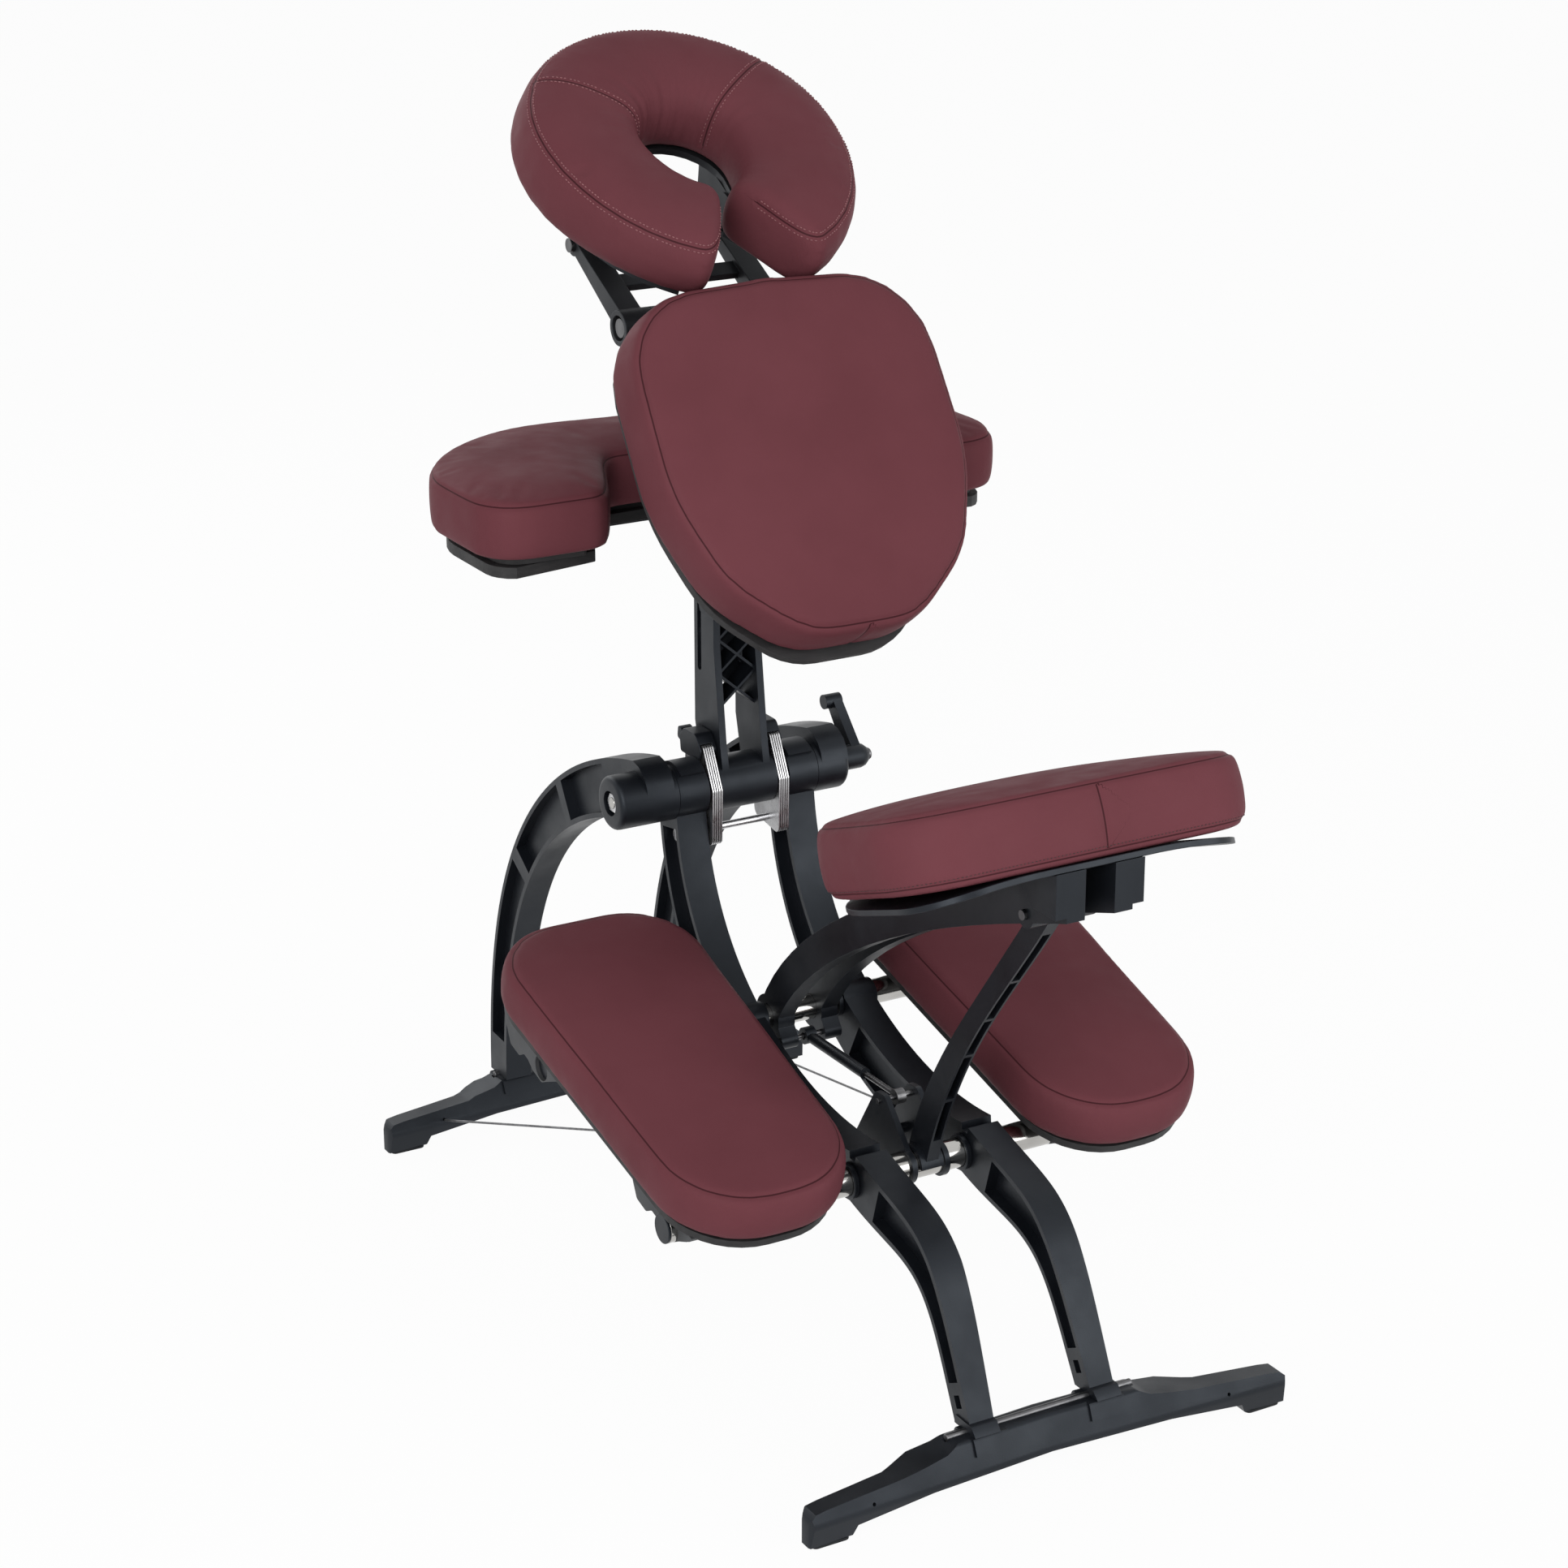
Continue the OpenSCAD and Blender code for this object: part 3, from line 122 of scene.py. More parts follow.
def in_frame(co, place):
    """World points in a pad's own frame."""
    m = np.array(place.inverted())
    return co @ m[:3, :3].T + m[:3, 3]


# ---------------------------------------------------------------- camera

CAMERA_TURN = math.radians(29.81)
CAMERA_RISE = math.radians(20.09)
CAMERA_SPOT = (-1.7104, -2.9452, 1.8012)
CAMERA_LENS_MM = 81.34
CAMERA_SENSOR_MM = 36
CAMERA_REACH = 200


def set_camera():
    """Behind and to the left of the chair, looking a little down."""
    turn, rise = CAMERA_TURN, CAMERA_RISE
    right = Vector((math.cos(turn), -math.sin(turn), 0))
    up = Vector((math.sin(turn) * math.sin(rise), math.cos(turn) * math.sin(rise), math.cos(rise)))
    back = right.cross(up)
    lens = bpy.data.cameras.new("view_from_rear_left")
    lens.lens = CAMERA_LENS_MM
    lens.sensor_width = CAMERA_SENSOR_MM
    lens.clip_end = CAMERA_REACH
    view = placed("view_from_rear_left", lens)
    facing = Matrix((right, up, back)).transposed().to_4x4()
    view.matrix_world = Matrix.Translation(CAMERA_SPOT) @ facing
    scene.camera = view


set_camera()


# ---------------------------------------------------------------- finishes

def finish(name):
    """A new material, its node tree and its surface node."""
    material = bpy.data.materials.new(name)
    material.use_nodes = True
    tree = material.node_tree
    return material, tree, tree.nodes["Principled BSDF"]


def add(tree, kind, settings=None, **inputs):
    """A new shader node. Input names are written with _ for a space."""
    node = tree.nodes.new("ShaderNode" + kind)
    for key, value in (settings or {}).items():
        setattr(node, key, value)
    for key, value in inputs.items():
        node.inputs[key.replace("_", " ")].default_value = value
    return node


def wire(tree, source, target, out=0, into=0):
    """Links two nodes and gives back the second."""
    tree.links.new(source.outputs[out], target.inputs[into])
    return target


def where(tree, turn=(0, 0, 0), stretch=(1, 1, 1)):
    """Object coordinates, turned and stretched for a pattern."""
    coords = add(tree, "TexCoord")
    mapping = add(tree, "Mapping", Rotation=turn, Scale=stretch)
    return wire(tree, coords, mapping, "Object", "Vector")


def mottle(tree, place, scale, dark, light, detail=3.0, low=0.35, high=0.65):
    """Two colours clouded into each other."""
    noise = wire(tree, place, add(tree, "TexNoise", Scale=scale, Detail=detail, Roughness=0.55), 0, "Vector")
    ramp = wire(tree, noise, add(tree, "ValToRGB"), "Fac", "Fac")
    ramp.color_ramp.elements[0].position = low
    ramp.color_ramp.elements[1].position = high
    ramp.color_ramp.elements[0].color = (*dark, 1)
    ramp.color_ramp.elements[1].color = (*light, 1)
    return ramp


def rough_band(tree, place, scale, low, high):
    """Roughness that wanders between two levels."""
    noise = wire(tree, place, add(tree, "TexNoise", Scale=scale, Detail=4.0), 0, "Vector")
    band = add(tree, "MapRange", From_Min=0.3, From_Max=0.7, To_Min=low, To_Max=high)
    return wire(tree, noise, band, "Fac", "Value")


def relief(tree, height, strength, distance, before=None, out=0):
    """A bump from a pattern, on top of an earlier one."""
    bump = add(tree, "Bump", Strength=strength, Distance=distance)
    wire(tree, height, bump, out, "Height")
    if before:
        wire(tree, before, bump, "Normal", "Normal")
    return bump


def vinyl_finish():
    """Burgundy upholstery vinyl: fine pebble grain, faint clouding, and painted shade as a dark line along
    each seam.
    """
    material, tree, shell = finish("burgundy_vinyl")
    place = where(tree)
    colour = mottle(tree, place, 7.0, (0.148, 0.0445, 0.0545), (0.166, 0.0505, 0.0620))
    # Painted shade: the colour darkens to a near-black line within about a millimetre of each seam's groove
    side = add(tree, "Attribute", {"attribute_name": "seam_side"})
    near = wire(tree, side, add(tree, "Math", {"operation": "ABSOLUTE"}), "Fac", 0)
    line = add(tree, "MapRange", {"interpolation_type": "SMOOTHSTEP"},
               From_Min=0.0004, From_Max=0.0013, To_Min=0.8, To_Max=0.0)
    wire(tree, near, line, 0, "Value")
    shade = add(tree, "Mix", {"data_type": "RGBA"})
    wire(tree, line, shade, "Result", "Factor")
    for socket in shade.inputs:
        if socket.name == "B" and socket.type == "RGBA":
            socket.default_value = (0.030, 0.008, 0.010, 1)
        if socket.name == "A" and socket.type == "RGBA":
            tree.links.new(colour.outputs["Color"], socket)
    for socket in shade.outputs:
        if socket.type == "RGBA":
            tree.links.new(socket, shell.inputs["Base Color"])
    pebble = wire(tree, place, add(tree, "TexVoronoi", {"feature": "SMOOTH_F1"}, Scale=720.0), 0, "Vector")
    fine = wire(tree, place, add(tree, "TexNoise", Scale=1900.0, Detail=2.0), 0, "Vector")
    soft = wire(tree, place, add(tree, "TexNoise", Scale=22.0, Detail=2.0), 0, "Vector")
    a = relief(tree, soft, 0.05, 0.004, out="Fac")
    b = relief(tree, pebble, 0.22, 0.0004, a, "Distance")
    c = relief(tree, fine, 0.10, 0.0002, b, "Fac")
    wire(tree, c, shell, "Normal", "Normal")
    wire(tree, rough_band(tree, place, 35.0, 0.50, 0.64), shell, "Result", "Roughness")
    shell.inputs["Specular IOR Level"].default_value = 0.05
    return material


def thread_finish(name, dark, light):
    """Twisted sewing thread."""
    material, tree, shell = finish(name)
    place = where(tree)
    colour = mottle(tree, place, 60.0, dark, light)
    wire(tree, colour, shell, "Color", "Base Color")
    twist = wire(tree, place, add(tree, "TexNoise", Scale=2600.0, Detail=1.0), 0, "Vector")
    wire(tree, relief(tree, twist, 0.3, 0.0002, out="Fac"), shell, "Normal", "Normal")
    wire(tree, rough_band(tree, place, 300.0, 0.45, 0.7), shell, "Result", "Roughness")
    return material


def moulding_finish(name, dark, light, rough, grain=0.14, gloss=0.32):
    """Moulded nylon: fine spark-eroded texture, faint flow clouds, duller and shinier patches."""
    material, tree, shell = finish(name)
    place = where(tree)
    wire(tree, mottle(tree, place, 16.0, dark, light), shell, "Color", "Base Color")
    spark = wire(tree, place, add(tree, "TexNoise", Scale=1500.0, Detail=3.0, Roughness=0.6), 0, "Vector")
    pits = wire(tree, place, add(tree, "TexVoronoi", Scale=900.0), 0, "Vector")
    flow = wire(tree, place, add(tree, "TexNoise", Scale=30.0, Detail=2.0), 0, "Vector")
    a = relief(tree, flow, 0.06, 0.003, out="Fac")
    b = relief(tree, pits, grain * 0.6, 0.0003, a, "Distance")
    c = relief(tree, spark, grain, 0.0003, b, "Fac")
    wire(tree, c, shell, "Normal", "Normal")
    wire(tree, rough_band(tree, place, 24.0, rough - 0.06, rough + 0.08), shell, "Result", "Roughness")
    shell.inputs["Specular IOR Level"].default_value = gloss
    shell.inputs["Specular Tint"].default_value = (0.80, 0.89, 1.0, 1)
    return material


def chrome_finish():
    """Bright tube: a clean mirror with faint polishing lines along it."""
    material, tree, shell = finish("chrome")
    place = where(tree, stretch=(2.0, 160.0, 160.0))
    colour = mottle(tree, where(tree), 12.0, (0.40, 0.392, 0.375), (0.50, 0.49, 0.47))
    wire(tree, colour, shell, "Color", "Base Color")
    lines = wire(tree, place, add(tree, "TexNoise", Scale=6.0, Detail=3.0), 0, "Vector")
    wire(tree, relief(tree, lines, 0.02, 0.0002, out="Fac"), shell, "Normal", "Normal")
    wire(tree, rough_band(tree, place, 3.0, 0.10, 0.20), shell, "Result", "Roughness")
    shell.inputs["Metallic"].default_value = 1.0
    return material


def plate_finish(name, dark, light, rough):
    """Ground and zinc-plated steel: short grinding lines and a mild clouding."""
    material, tree, shell = finish(name)
    place = where(tree, turn=(0.6, 0, 0), stretch=(30.0, 400.0, 20.0))
    wire(tree, mottle(tree, where(tree), 40.0, dark, light), shell, "Color", "Base Color")
    lines = wire(tree, place, add(tree, "TexNoise", Scale=5.0, Detail=4.0), 0, "Vector")
    wire(tree, relief(tree, lines, 0.08, 0.0002, out="Fac"), shell, "Normal", "Normal")
    wire(tree, rough_band(tree, place, 4.0, rough - 0.06, rough + 0.1), shell, "Result", "Roughness")
    shell.inputs["Metallic"].default_value = 1.0
    return material


def board_finish():
    """Black-stained board: faint wood grain and a dry surface."""
    material, tree, shell = finish("black_board")
    place = where(tree)
    along = where(tree, stretch=(1, 9, 9))
    colour = mottle(tree, along, 14.0, (0.010, 0.010, 0.011), (0.022, 0.021, 0.022))
    wire(tree, colour, shell, "Color", "Base Color")
    fibres = where(tree, stretch=(1, 12, 12))
    grain = wire(tree, fibres, add(tree, "TexNoise", Scale=90.0, Detail=4.0), 0, "Vector")
    fuzz = wire(tree, place, add(tree, "TexNoise", Scale=1200.0, Detail=2.0), 0, "Vector")
    a = relief(tree, grain, 0.10, 0.0006, out="Fac")
    wire(tree, relief(tree, fuzz, 0.12, 0.0003, a, "Fac"), shell, "Normal", "Normal")
    wire(tree, rough_band(tree, place, 30.0, 0.55, 0.75), shell, "Result", "Roughness")
    return material


def wire_finish():
    """Coated wire rope: strands wound round the line of each stay."""
    material, tree, shell = finish("stay_wire")
    place = where(tree)
    colour = mottle(tree, place, 80.0, (0.10, 0.10, 0.105), (0.20, 0.20, 0.21))
    wire(tree, colour, shell, "Color", "Base Color")
    lay = add(tree, "TexWave", {"wave_type": "BANDS", "bands_direction": "DIAGONAL"},
              Scale=90.0, Distortion=0.4)
    wire(tree, place, lay, 0, "Vector")
    wire(tree, relief(tree, lay, 0.5, 0.0004, out="Fac"), shell, "Normal", "Normal")
    wire(tree, rough_band(tree, place, 200.0, 0.35, 0.5), shell, "Result", "Roughness")
    shell.inputs["Metallic"].default_value = 0.6
    return material


VINYL = vinyl_finish()
THREAD = thread_finish("stitch_thread", (0.25, 0.095, 0.105), (0.32, 0.125, 0.135))
DARK_THREAD = thread_finish("dark_stitch_thread", (0.040, 0.012, 0.014), (0.060, 0.018, 0.021))
NYLON = moulding_finish("black_nylon", (0.0046, 0.0054, 0.0074), (0.0082, 0.0094, 0.0124), 0.40)
SATIN = moulding_finish("dark_plastic", (0.014, 0.0145, 0.016), (0.020, 0.0205, 0.0225), 0.46, 0.10)
GREY = moulding_finish("grey_plastic", (0.050, 0.051, 0.053), (0.066, 0.067, 0.069), 0.50)
RUBBER = moulding_finish("rubber", (0.009, 0.009, 0.009), (0.016, 0.016, 0.016), 0.72, 0.22)
BOARD = board_finish()
CHROME = chrome_finish()
STEEL = plate_finish("steel", (0.46, 0.46, 0.47), (0.62, 0.62, 0.63), 0.30)
DARK_STEEL = plate_finish("dark_steel", (0.10, 0.10, 0.105), (0.17, 0.17, 0.175), 0.36)
WIRE = wire_finish()


# ---------------------------------------------------------------- rigid pieces

RIGID = {
    NYLON: """rear_leg_left rear_leg_right rear_foot front_leg_left front_leg_right front_foot
        cap_left cap_right anchor_bracket chest_post chest_carriage carriage_knob arm_slider arm_bracket
        cradle_stem seat_arms seat_shell seat_strut clamp_lever tube_collars tube_plugs gas_cylinder""",
    GREY: "knee_saddles_left knee_saddles_right",
    SATIN: "cradle_yoke cradle_ring",
    BOARD: "knee_plate_left knee_plate_right chest_plate arm_plate arm_board",
    CHROME: "upper_tube lower_tube hub_shaft",
    STEEL: "plates_left plates_right hub_nut tie_rod slider_bolt",
    DARK_STEEL: """gas_rod bracket_pins cradle_bolt yoke_pin lever_screw rear_foot_rod front_foot_rod
        seat_pins""",
    RUBBER: "rear_glides front_glides",
}
# Width in millimetres of the round on each piece's edges, where it isn't the plain one
PLAIN_ROUND = 0.8
ROUNDS = {
    3.0: "rear_foot front_foot",
    1.6: "rear_leg_left rear_leg_right front_leg_left front_leg_right",
    1.5: "seat_arms clamp_lever cradle_yoke cradle_ring",
    1.4: "knee_saddles_left knee_saddles_right",
    1.2: "seat_strut",
    0.4: "hub_nut upper_tube lower_tube",
    0.3: "tie_rod slider_bolt seat_pins bracket_pins cradle_bolt yoke_pin lever_screw",
    0.15: "plates_left plates_right",
}
EDGE_ROUND = {name: width for width, names in ROUNDS.items() for name in names.split()}
# Angles between faces: where shading turns crisp, where an edge is rounded, and what counts as flat
SHARP_SHADING = math.radians(30)
SHARP_EDGE = math.radians(38)
FLAT_FACES = math.radians(0.6)


def even_shading():
    """Smooth shading across shallow angles, crisp at the sharp ones."""
    group = bpy.data.node_groups.new("even_shading", "GeometryNodeTree")
    for way in ("INPUT", "OUTPUT"):
        group.interface.new_socket("Geometry", in_out=way, socket_type="NodeSocketGeometry")
    source, target = group.nodes.new("NodeGroupInput"), group.nodes.new("NodeGroupOutput")
    faces, edges = (group.nodes.new("GeometryNodeSetShadeSmooth") for _ in range(2))
    faces.domain, edges.domain = "FACE", "EDGE"
    faces.inputs["Shade Smooth"].default_value = True
    edges.inputs["Shade Smooth"].default_value = False
    angle = group.nodes.new("GeometryNodeInputMeshEdgeAngle")
    sharp = group.nodes.new("FunctionNodeCompare")
    sharp.data_type, sharp.operation = "FLOAT", "GREATER_THAN"
    sharp.inputs["B"].default_value = SHARP_SHADING
    group.links.new(angle.outputs["Unsigned Angle"], sharp.inputs["A"])
    group.links.new(sharp.outputs["Result"], edges.inputs["Selection"])
    group.links.new(source.outputs[0], faces.inputs["Geometry"])
    group.links.new(faces.outputs["Geometry"], edges.inputs["Geometry"])
    group.links.new(edges.outputs["Geometry"], target.inputs[0])
    return group


EVEN = even_shading()


def soften_edges(name):
    """A small round on every sharp edge, as moulding and tumbling leave."""
    piece = nodes[name]
    weld = piece.modifiers.new("join", "WELD")
    weld.merge_threshold = SAME_POINT
    flat = piece.modifiers.new("flat_faces", "DECIMATE")
    flat.decimate_type = "DISSOLVE"
    flat.angle_limit = FLAT_FACES
    piece.modifiers.new("shading", "NODES").node_group = EVEN
    edge = piece.modifiers.new("edge", "BEVEL")
    edge.width = EDGE_ROUND.get(name, PLAIN_ROUND) * MM
    edge.segments = 2
    edge.limit_method = "ANGLE"
    edge.angle_limit = SHARP_EDGE
    edge.harden_normals = True
    edge.loop_slide = False


for material, names in RIGID.items():
    for name in names.split():
        mesh = nodes[name].data
        mesh.materials.clear()
        mesh.materials.append(material)
        soften_edges(name)


# ---------------------------------------------------------------- pads

RUB_PASSES = 3


def soft_copy(node, name, grain):
    """A pad's skin in even cells, from its solid, with the facets rubbed out."""
    bm = bmesh.new()
    bm.from_mesh(nodes[node].data)
    bmesh.ops.remove_doubles(bm, verts=bm.verts, dist=SAME_POINT)
    bmesh.ops.recalc_face_normals(bm, faces=bm.faces)
    piece = placed(name, mesh_from(name, bm))
    cells = piece.modifiers.new("cells", "REMESH")
    cells.mode = "VOXEL"
    cells.voxel_size = grain
    baked(piece)
    bm = bmesh.new()
    bm.from_mesh(piece.data)
    for _ in range(RUB_PASSES):
        bmesh.ops.smooth_vert(bm, verts=bm.verts, factor=0.5,
                              use_axis_x=True, use_axis_y=True, use_axis_z=True)
    bm.to_mesh(piece.data)
    bm.free()
    return piece


# Frames of filling, how far the skin may move, and what is held: a strip at the base in metres, and a
# strip at each seam in cells
FILL_STEPS = 20
MOST_FILL = 0.004
BASE_HOLD = 0.004
SEAM_HOLD = 0.7


def puff(filled):
    """Air pressure fills all pads at once. The base and the sewn lines are held."""
    start = {}
    for piece, held in filled:
        co = vectors_of(piece.data, "co")
        start[piece.name] = co
        group = piece.vertex_groups.new(name="held")
        group.add([int(i) for i in np.nonzero(held(co))[0]], 1.0, "REPLACE")
        cloth = piece.modifiers.new("fill", "CLOTH")
        cloth.settings.quality = 4
        cloth.settings.mass = 0.25
        cloth.settings.air_damping = 2.0
        cloth.settings.tension_stiffness = 20
        cloth.settings.compression_stiffness = 20
        cloth.settings.bending_stiffness = 2
        cloth.settings.use_pressure = True
        cloth.settings.uniform_pressure_force = 4
        cloth.settings.effector_weights.gravity = 0
        cloth.settings.vertex_group_mass = "held"
        cloth.point_cache.frame_start = 1
        cloth.point_cache.frame_end = FILL_STEPS
    for step in range(1, FILL_STEPS + 1):
        scene.frame_set(step)
    for piece, _ in filled:
        baked(piece)
        co, old = vectors_of(piece.data, "co"), start[piece.name]
        move = co - old
        far = np.linalg.norm(move, axis=1, keepdims=True)
        move_to(piece.data, old + move * np.minimum(1, MOST_FILL / np.maximum(far, 1e-9)))
        piece.vertex_groups.clear()
    scene.frame_set(1)


def sewn(place, base, seams, grain):
    """Tells which points of a pad are held while it fills: its base and its sewn lines."""
    def held(co):
        z = in_frame(co, place)[:, 2]
        kept = z < base + BASE_HOLD
        for seam in seams:
            kept |= np.abs(z - seam) < grain * SEAM_HOLD
        return kept
    return held


def finer(piece):
    """Four faces for each one, and smooth shading."""
    fold = piece.modifiers.new("finer", "SUBSURF")
    fold.levels = fold.render_levels = 1
    baked(piece)
    smooth_faces(piece)


# Along a seam: the step between its points, how far it is felt, and the play along it
SEAM_STEP = 0.002
SEAM_REACH = 0.03
SEAM_PLAY = 0.0015
LINE_PASSES = 3


def cut_line(piece, point, normal, keep=None):
    """Where a plane meets a pad's skin, as one ordered line of points."""
    bm = bmesh.new()
    bm.from_mesh(piece.data)
    cut = bmesh.ops.bisect_plane(bm, geom=bm.verts[:] + bm.edges[:] + bm.faces[:],
                                 plane_co=point, plane_no=normal)
    edges = [e for e in cut["geom_cut"] if isinstance(e, bmesh.types.BMEdge)]
    if keep:
        edges = [e for e in edges if keep((e.verts[0].co + e.verts[1].co) / 2)]
    bm.verts.index_update()
    joined = {}
    for e in edges:
        a, b = e.verts
        joined.setdefault(a.index, []).append(b.index)
        joined.setdefault(b.index, []).append(a.index)
    spot = {v.index: v.co.copy() for v in bm.verts if v.index in joined}
    bm.free()
    best = []
    left = set(joined)
    while left:
        ends = [i for i in left if len(joined[i]) == 1]
        first = min(ends) if ends else min(left)
        line, here = [first], first
        left.discard(first)
        while True:
            ahead = [i for i in joined[here] if i in left]
            if not ahead:
                break
            here = ahead[0]
            left.discard(here)
            line.append(here)
        if not ends:
            line.append(first)
        if len(line) > len(best):
            best = line
    return evenly([spot[i] for i in best], SEAM_STEP)


def evenly(points, step):
    """The same line with points a fixed step apart."""
    far = [0.0]
    for a, b in zip(points, points[1:]):
        far.append(far[-1] + (b - a).length)
    count = max(2, int(far[-1] / step))
    out, i = [], 0
    for k in range(count + 1):
        d = far[-1] * k / count
        while i < len(far) - 2 and far[i + 1] < d:
            i += 1
        span = far[i + 1] - far[i]
        out.append(points[i].lerp(points[i + 1], (d - far[i]) / span if span > 1e-9 else 0))
    for _ in range(LINE_PASSES):
        middle = [(out[k - 1] + out[k] * 2 + out[k + 1]) / 4 for k in range(1, len(out) - 1)]
        out = [out[0]] + middle + [out[-1]]
    return out


def draw_in(piece, lines, depth=0.0014, width=0.0032):
    """Seams: the skin is drawn in along each line. Each point keeps its distance from the nearest line."""
    tree = KDTree(sum(len(line) for line in lines))
    spots, along = [], []
    for line in lines:
        for k, p in enumerate(line):
            tree.insert(p, len(spots))
            spots.append(p)
            along.append((line[min(k + 1, len(line) - 1)] - line[max(k - 1, 0)]).normalized())
    tree.balance()
    mesh = piece.data
    co, no = vectors_of(mesh, "co"), vectors_of(mesh, "normal")
    side = np.ones(len(co))
    for i in range(len(co)):
        p = Vector(co[i])
        _, k, d = tree.find(p)
        if d > SEAM_REACH:
            continue
        n = Vector(no[i])
        off = p - spots[k]
        off -= along[k] * max(-SEAM_PLAY, min(SEAM_PLAY, off.dot(along[k])))
        across = along[k].cross(n)
        d = off.length
        side[i] = math.copysign(d, off.dot(across))
        co[i] -= no[i] * depth * math.exp(-((d / width) ** 2))
    move_to(mesh, co)
    # The signed distance from the nearest seam, which the vinyl reads to paint shade along each seam
    mark = mesh.attributes.new("seam_side", "FLOAT", "POINT")
    mark.data.foreach_set("value", side.astype(np.float32))
    mesh.update()


THREAD_PROUD = 0.3


def stitches(bm, skin, line, offset, pitch=0.0046, long=0.0031, thick=0.00055):
    """A row of thread beads beside a seam."""
    far, mark = 0.0, pitch
    for k in range(1, len(line) - 1):
        far += (line[k] - line[k - 1]).length
        if far < mark:
            continue
        mark += pitch
        t = (line[k + 1] - line[k - 1]).normalized()
        _, n, _, _ = skin.find_nearest(line[k])
        spot, n, _, _ = skin.find_nearest(line[k] + t.cross(n) * offset)
        across = n.cross(t).normalized()
        t = across.cross(n)
        turn = Matrix((t * long / 2, across * thick, n * thick)).transposed().to_4x4()
        place = Matrix.Translation(spot + n * thick * THREAD_PROUD) @ turn
        bmesh.ops.create_icosphere(bm, subdivisions=1, radius=1, matrix=place)


def skin_of(piece):
    """The piece's surface, to find the nearest spot on it."""
    bm = bmesh.new()
    bm.from_mesh(piece.data)
    tree = BVHTree.FromBMesh(bm)
    bm.free()
    return tree


def dress(piece, node, body):
    """Vinyl on a pad, which stands for its solid and rides on its body."""
    piece.data.materials.clear()
    piece.data.materials.append(VINYL)
    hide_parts(node)
    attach(piece, body)


def axis(place, i):
    """One axis of a pad's own frame."""
    return place.to_3x3().col[i].copy()


def flat_seam(piece, place, height, keep=None):
    """The line round a pad at one height above its frame, in millimetres."""
    point = place @ Vector((0, 0, height * MM))
    return cut_line(piece, point, axis(place, 2), keep)


# Each pad's solid, its body, its own frame, the height of its base and of its seams in millimetres, and
# the size of its cells
PADS = {
    "chest_pad": ("chest_cushion", "chest", CHEST, -66, [-1], 0.005),
    "left_knee_pad": ("knee_cushion_left", "rear_frame", KNEE, 25, [79], 0.005),
    "right_knee_pad": ("knee_cushion_right", "rear_frame", KNEE, 25, [79], 0.005),
    "armrest_pad": ("arm_cushion", "armrest", ARM, 807, [863], 0.005),
    "seat_pad": ("seat_cushion", "seat", SEAT, 0, [68, 6], 0.005),
    "face_pad": ("face_cushion", "face_rest", FACE, -72, [], 0.0045),
}

pads = {name: soft_copy(node, name, grain) for name, (node, _, _, _, _, grain) in PADS.items()}
puff([(pads[name], sewn(place, base * MM, [s * MM for s in seams], grain))
      for name, (_, _, place, base, seams, grain) in PADS.items()])
for pad in pads.values():
    finer(pad)


def seams_of(name):
    """The seams that run round a pad, top one first."""
    place, heights = PADS[name][2], PADS[name][4]
    return [flat_seam(pads[name], place, height) for height in heights]


def band_joint(piece, place, x, end, low, high):
    """The joint in a pad's band at x, on the side where y is below end, between two heights."""
    back = place.inverted()

    def in_band(p):
        q = back @ p
        return q.y < end and low < q.z < high
    return cut_line(piece, place @ Vector((x, 0, 0)), axis(place, 0), in_band)


def sew_plain(name):
    """Only the seams that run round a pad."""
    draw_in(pads[name], seams_of(name))


def sew_chest():
    """A seam round the face, and a joint in the band at the lower end."""
    piece = pads["chest_pad"]
    seams = seams_of("chest_pad")
    joint = band_joint(piece, CHEST, x=0.005, end=-0.1, low=-0.058, high=-0.003)
    draw_in(piece, seams + [joint])


def sew_seat():
    """Seams round the top and the base, a joint in the band, and stitches above the base."""
    piece = pads["seat_pad"]
    upper, lower = seams_of("seat_pad")
    joint = band_joint(piece, SEAT, x=0.011, end=0.06, low=0.007, high=0.067)
    draw_in(piece, [upper, lower, joint])
    bm = bmesh.new()
    stitches(bm, skin_of(piece), lower, offset=-0.0035, pitch=0.0040, long=0.0026)
    thread = new_piece("seat_pad_stitches", bm, DARK_THREAD, "seat")
    smooth_faces(thread)


# The face pad's horseshoe: its middle along the pad, how far out its seam runs round the back and
# towards the tips, where the tips begin, the seam's height, and the turn of the two cross seams
RING_Y = 0.072
RING_SEAM = 0.112
TIP_SEAM = 0.139
TIP_Y = -0.045
FACE_SEAM_MM = -5
PANEL_TURN = 54
# Folds at the hole: their depth, and the waves that make them (count round the ring, phase, strength)
FOLD_DEPTH = 0.0007
FOLD_WAVES = ((21, 0.7, 1.0), (34, 2.1, 0.7), (55, 0.0, 0.4))


def crease(piece, rim):
    """Soft folds where the top panels are pulled over into the hole, none near the outer seam."""
    tree = KDTree(len(rim))
    for k, p in enumerate(rim):
        tree.insert(p, k)
    tree.balance()
    co, no = vectors_of(piece.data, "co"), vectors_of(piece.data, "normal")
    q = in_frame(co, FACE)
    turn = np.arctan2(q[:, 0], q[:, 1] - RING_Y)
    reach = np.hypot(q[:, 0], q[:, 1] - RING_Y)
    clear = np.array([tree.find(Vector(p))[2] for p in co])
    wave = sum(size * np.cos(count * turn + phase) for count, phase, size in FOLD_WAVES)
    inner = np.clip((clear - 0.018) / 0.03, 0, 1) * np.clip((0.115 - reach) / 0.05, 0, 1)
    inner *= q[:, 2] > -0.055
    back = np.clip(1.35 - np.abs(turn) / 1.5, 0.15, 1)
    co -= no * (FOLD_DEPTH * np.maximum(wave, -0.6) * inner * back)[:, None]
    move_to(piece.data, co)
    piece.data.update()


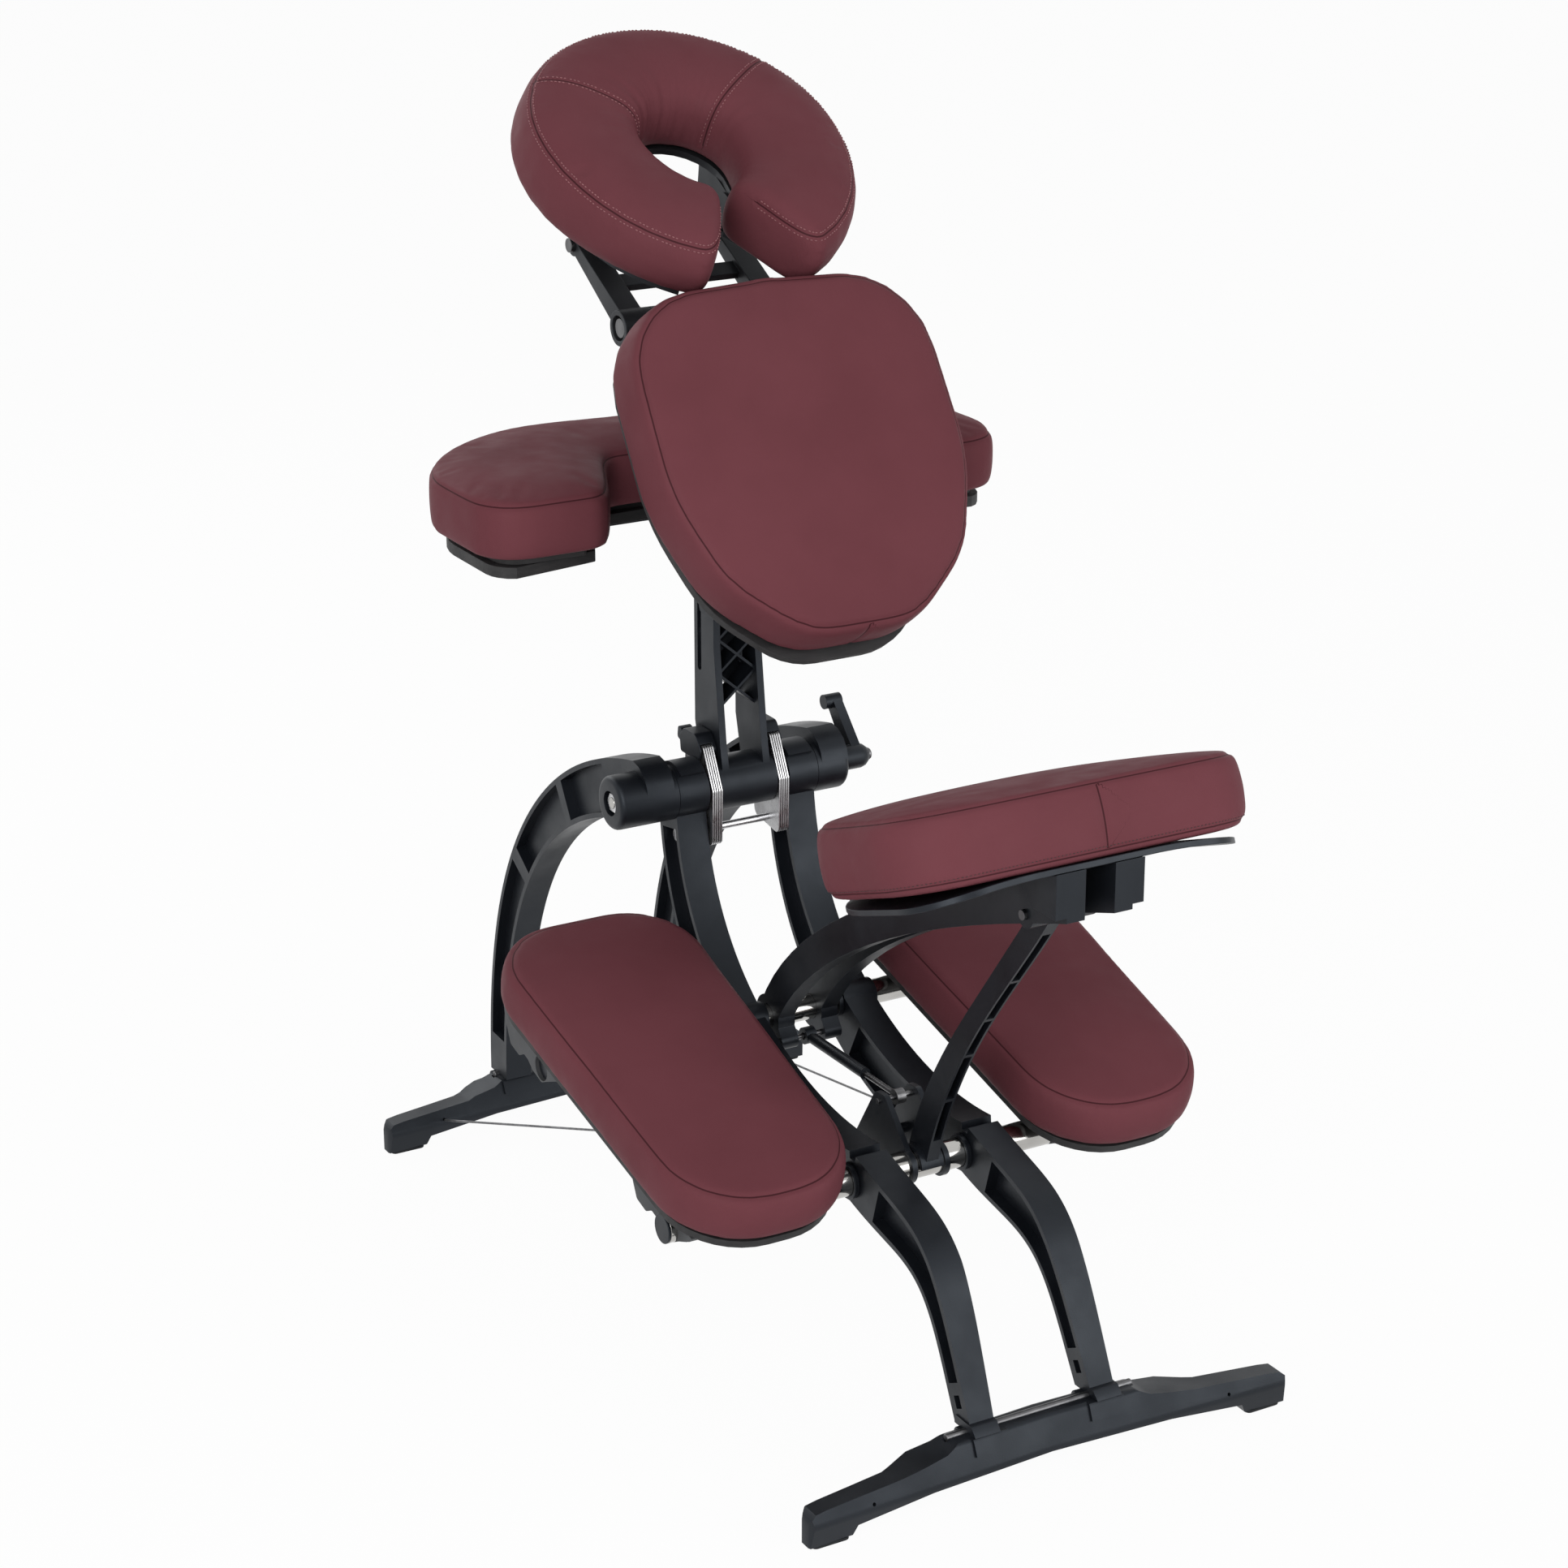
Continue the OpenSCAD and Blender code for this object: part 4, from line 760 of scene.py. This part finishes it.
def sew_face():
    """A seam round the outside, two across the top panels, and stitches on both sides of each."""
    piece = pads["face_pad"]
    back = FACE.inverted()

    def outer(p):
        q = back @ p
        y = q.y - RING_Y
        if y > -0.02:
            return math.hypot(q.x, y) > RING_SEAM
        return math.hypot(q.x / RING_SEAM, y / TIP_SEAM) > 1 or q.y < TIP_Y
    rim = flat_seam(piece, FACE, FACE_SEAM_MM, outer)
    lines = [rim]
    for sign in (-1, 1):
        a = math.radians(PANEL_TURN * sign)
        point = FACE @ Vector((0, RING_Y, 0))
        normal = FACE.to_3x3() @ Vector((math.cos(a), -math.sin(a), 0))

        def top(p, a=a):
            q = back @ p
            y = q.y - RING_Y
            ahead = q.x * math.sin(a) + y * math.cos(a) > 0
            below_seam = q.z < FACE_SEAM_MM * MM and math.hypot(q.x, y) > RING_SEAM
            return ahead and q.z > -0.05 and not below_seam
        lines.append(cut_line(piece, point, normal, top))
    draw_in(piece, lines, depth=0.0008, width=0.0020)
    crease(piece, rim)
    bm = bmesh.new()
    skin = skin_of(piece)
    for line in lines:
        for offset in (-0.0040, 0.0040):
            stitches(bm, skin, line, offset=offset, thick=0.0007)
    thread = new_piece("face_pad_stitches", bm, THREAD, "face_rest")
    smooth_faces(thread)


sew_chest()
for name in ("left_knee_pad", "right_knee_pad", "armrest_pad"):
    sew_plain(name)
sew_seat()
sew_face()
for name, (node, body, *_) in PADS.items():
    dress(pads[name], node, body)


# ---------------------------------------------------------------- stay cables

def tube_between(bm, a, b, radius, rings, sides=10):
    """A round bar between two points, cut across into rings along it."""
    span = b - a
    made = bmesh.ops.create_cone(bm, cap_ends=True, segments=sides,
                                 radius1=radius, radius2=radius, depth=span.length)
    turn = Vector((0, 0, 1)).rotation_difference(span).to_matrix().to_4x4()
    place = Matrix.Translation((a + b) / 2) @ turn
    bmesh.ops.transform(bm, matrix=place, verts=made["verts"])
    for k in range(1, rings):
        bmesh.ops.bisect_plane(bm, geom=bm.verts[:] + bm.edges[:] + bm.faces[:],
                               plane_co=a.lerp(b, k / rings), plane_no=span)


# Ends of the right cable in millimetres
STAY_FRONT = (205, 469.883, 30)
STAY_REAR = (65.6, -128.24, 217.222)
STAY_RADIUS = 0.0013
STAY_RINGS = 24


def stay_cable(side):
    """From the hole in a rear leg to the front foot, straight between them."""
    front, rear = (Vector((side * x, y, z)) * MM for x, y, z in (STAY_FRONT, STAY_REAR))
    bm = bmesh.new()
    tube_between(bm, rear, front, STAY_RADIUS, STAY_RINGS)
    piece = new_piece("left_stay_cable" if side < 0 else "right_stay_cable", bm, WIRE, None)
    smooth_faces(piece)
    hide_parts("stay_cables")
    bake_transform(piece)


stay_cable(-1)
stay_cable(1)


# ---------------------------------------------------------------- floor and light

# The floor's half width, how white it shows, the sky's strength, and each lamp's place, aim, size and power
FLOOR_SIZE = 40
FLOOR_WHITE = 0.96
SKY_LIGHT = 0.31
SOFTBOXES = (
    ("key_softbox", (-2.6, -2.6, 2.1), (0, 0, 0.7), 2.2, 78),
    ("fill_softbox", (2.1, -3.2, 1.3), (0, -0.2, 0.5), 2.2, 44),
    ("top_softbox", (0.2, 0.4, 3.6), (0, 0, 0.5), 2.4, 7),
    ("front_softbox", (-0.6, 3.2, 2.2), (0, 0, 0.7), 2.0, 24),
)


def seen_as_white(tree):
    """1 for a ray from the camera, off a mirror or through glass, and 0 for the light itself."""
    path = add(tree, "LightPath")
    first = add(tree, "Math", {"operation": "MAXIMUM"})
    wire(tree, path, first, "Is Camera Ray", 0)
    wire(tree, path, first, "Is Glossy Ray", 1)
    both = wire(tree, first, add(tree, "Math", {"operation": "MAXIMUM"}))
    return wire(tree, path, both, "Is Transmission Ray", 1)


def mix_in_white(tree, share, plain, white, end):
    """The plain surface, with a white one where the share says so."""
    mix = wire(tree, share, add(tree, "MixShader"))
    wire(tree, plain, mix, 0, 1)
    wire(tree, white, mix, 0, 2)
    wire(tree, mix, tree.nodes[end], 0, "Surface")


def lay_floor():
    """A pale floor that shows white and keeps the chair's shadow."""
    bm = bmesh.new()
    bmesh.ops.create_grid(bm, x_segments=2, y_segments=2, size=FLOOR_SIZE)
    floor = placed("studio_floor", mesh_from("studio_floor", bm))
    material, tree, shell = finish("pale_floor")
    colour = mottle(tree, where(tree), 0.8, (0.86, 0.86, 0.86), (0.88, 0.88, 0.88))
    wire(tree, colour, shell, "Color", "Base Color")
    shell.inputs["Roughness"].default_value = 0.9
    shell.inputs["Specular IOR Level"].default_value = 0.1
    glow = add(tree, "Emission", Color=(1, 1, 1, 1), Strength=1.0)
    share = wire(tree, seen_as_white(tree), add(tree, "Math", {"operation": "MULTIPLY"}))
    share.inputs[1].default_value = FLOOR_WHITE
    mix_in_white(tree, share, shell, glow, "Material Output")
    floor.data.materials.append(material)


def light_sky():
    """Even light from all round, in front of a white background."""
    world = bpy.data.worlds.new("studio")
    scene.world = world
    world.use_nodes = True
    tree = world.node_tree
    sky = tree.nodes["Background"]
    sky.inputs["Color"].default_value = (1, 1, 1, 1)
    sky.inputs["Strength"].default_value = SKY_LIGHT
    white = add(tree, "Background", Color=(1, 1, 1, 1), Strength=1.0)
    mix_in_white(tree, seen_as_white(tree), sky, white, "World Output")


def hang_softboxes():
    """Large square lamps round the chair."""
    for name, spot, aim, size, power in SOFTBOXES:
        lamp = bpy.data.lights.new(name, "AREA")
        lamp.shape = "SQUARE"
        lamp.size = size
        lamp.energy = power
        holder = placed(name, lamp)
        holder.location = spot
        holder.rotation_euler = (Vector(aim) - Vector(spot)).to_track_quat("-Z", "Y").to_euler()


lay_floor()
light_sky()
hang_softboxes()
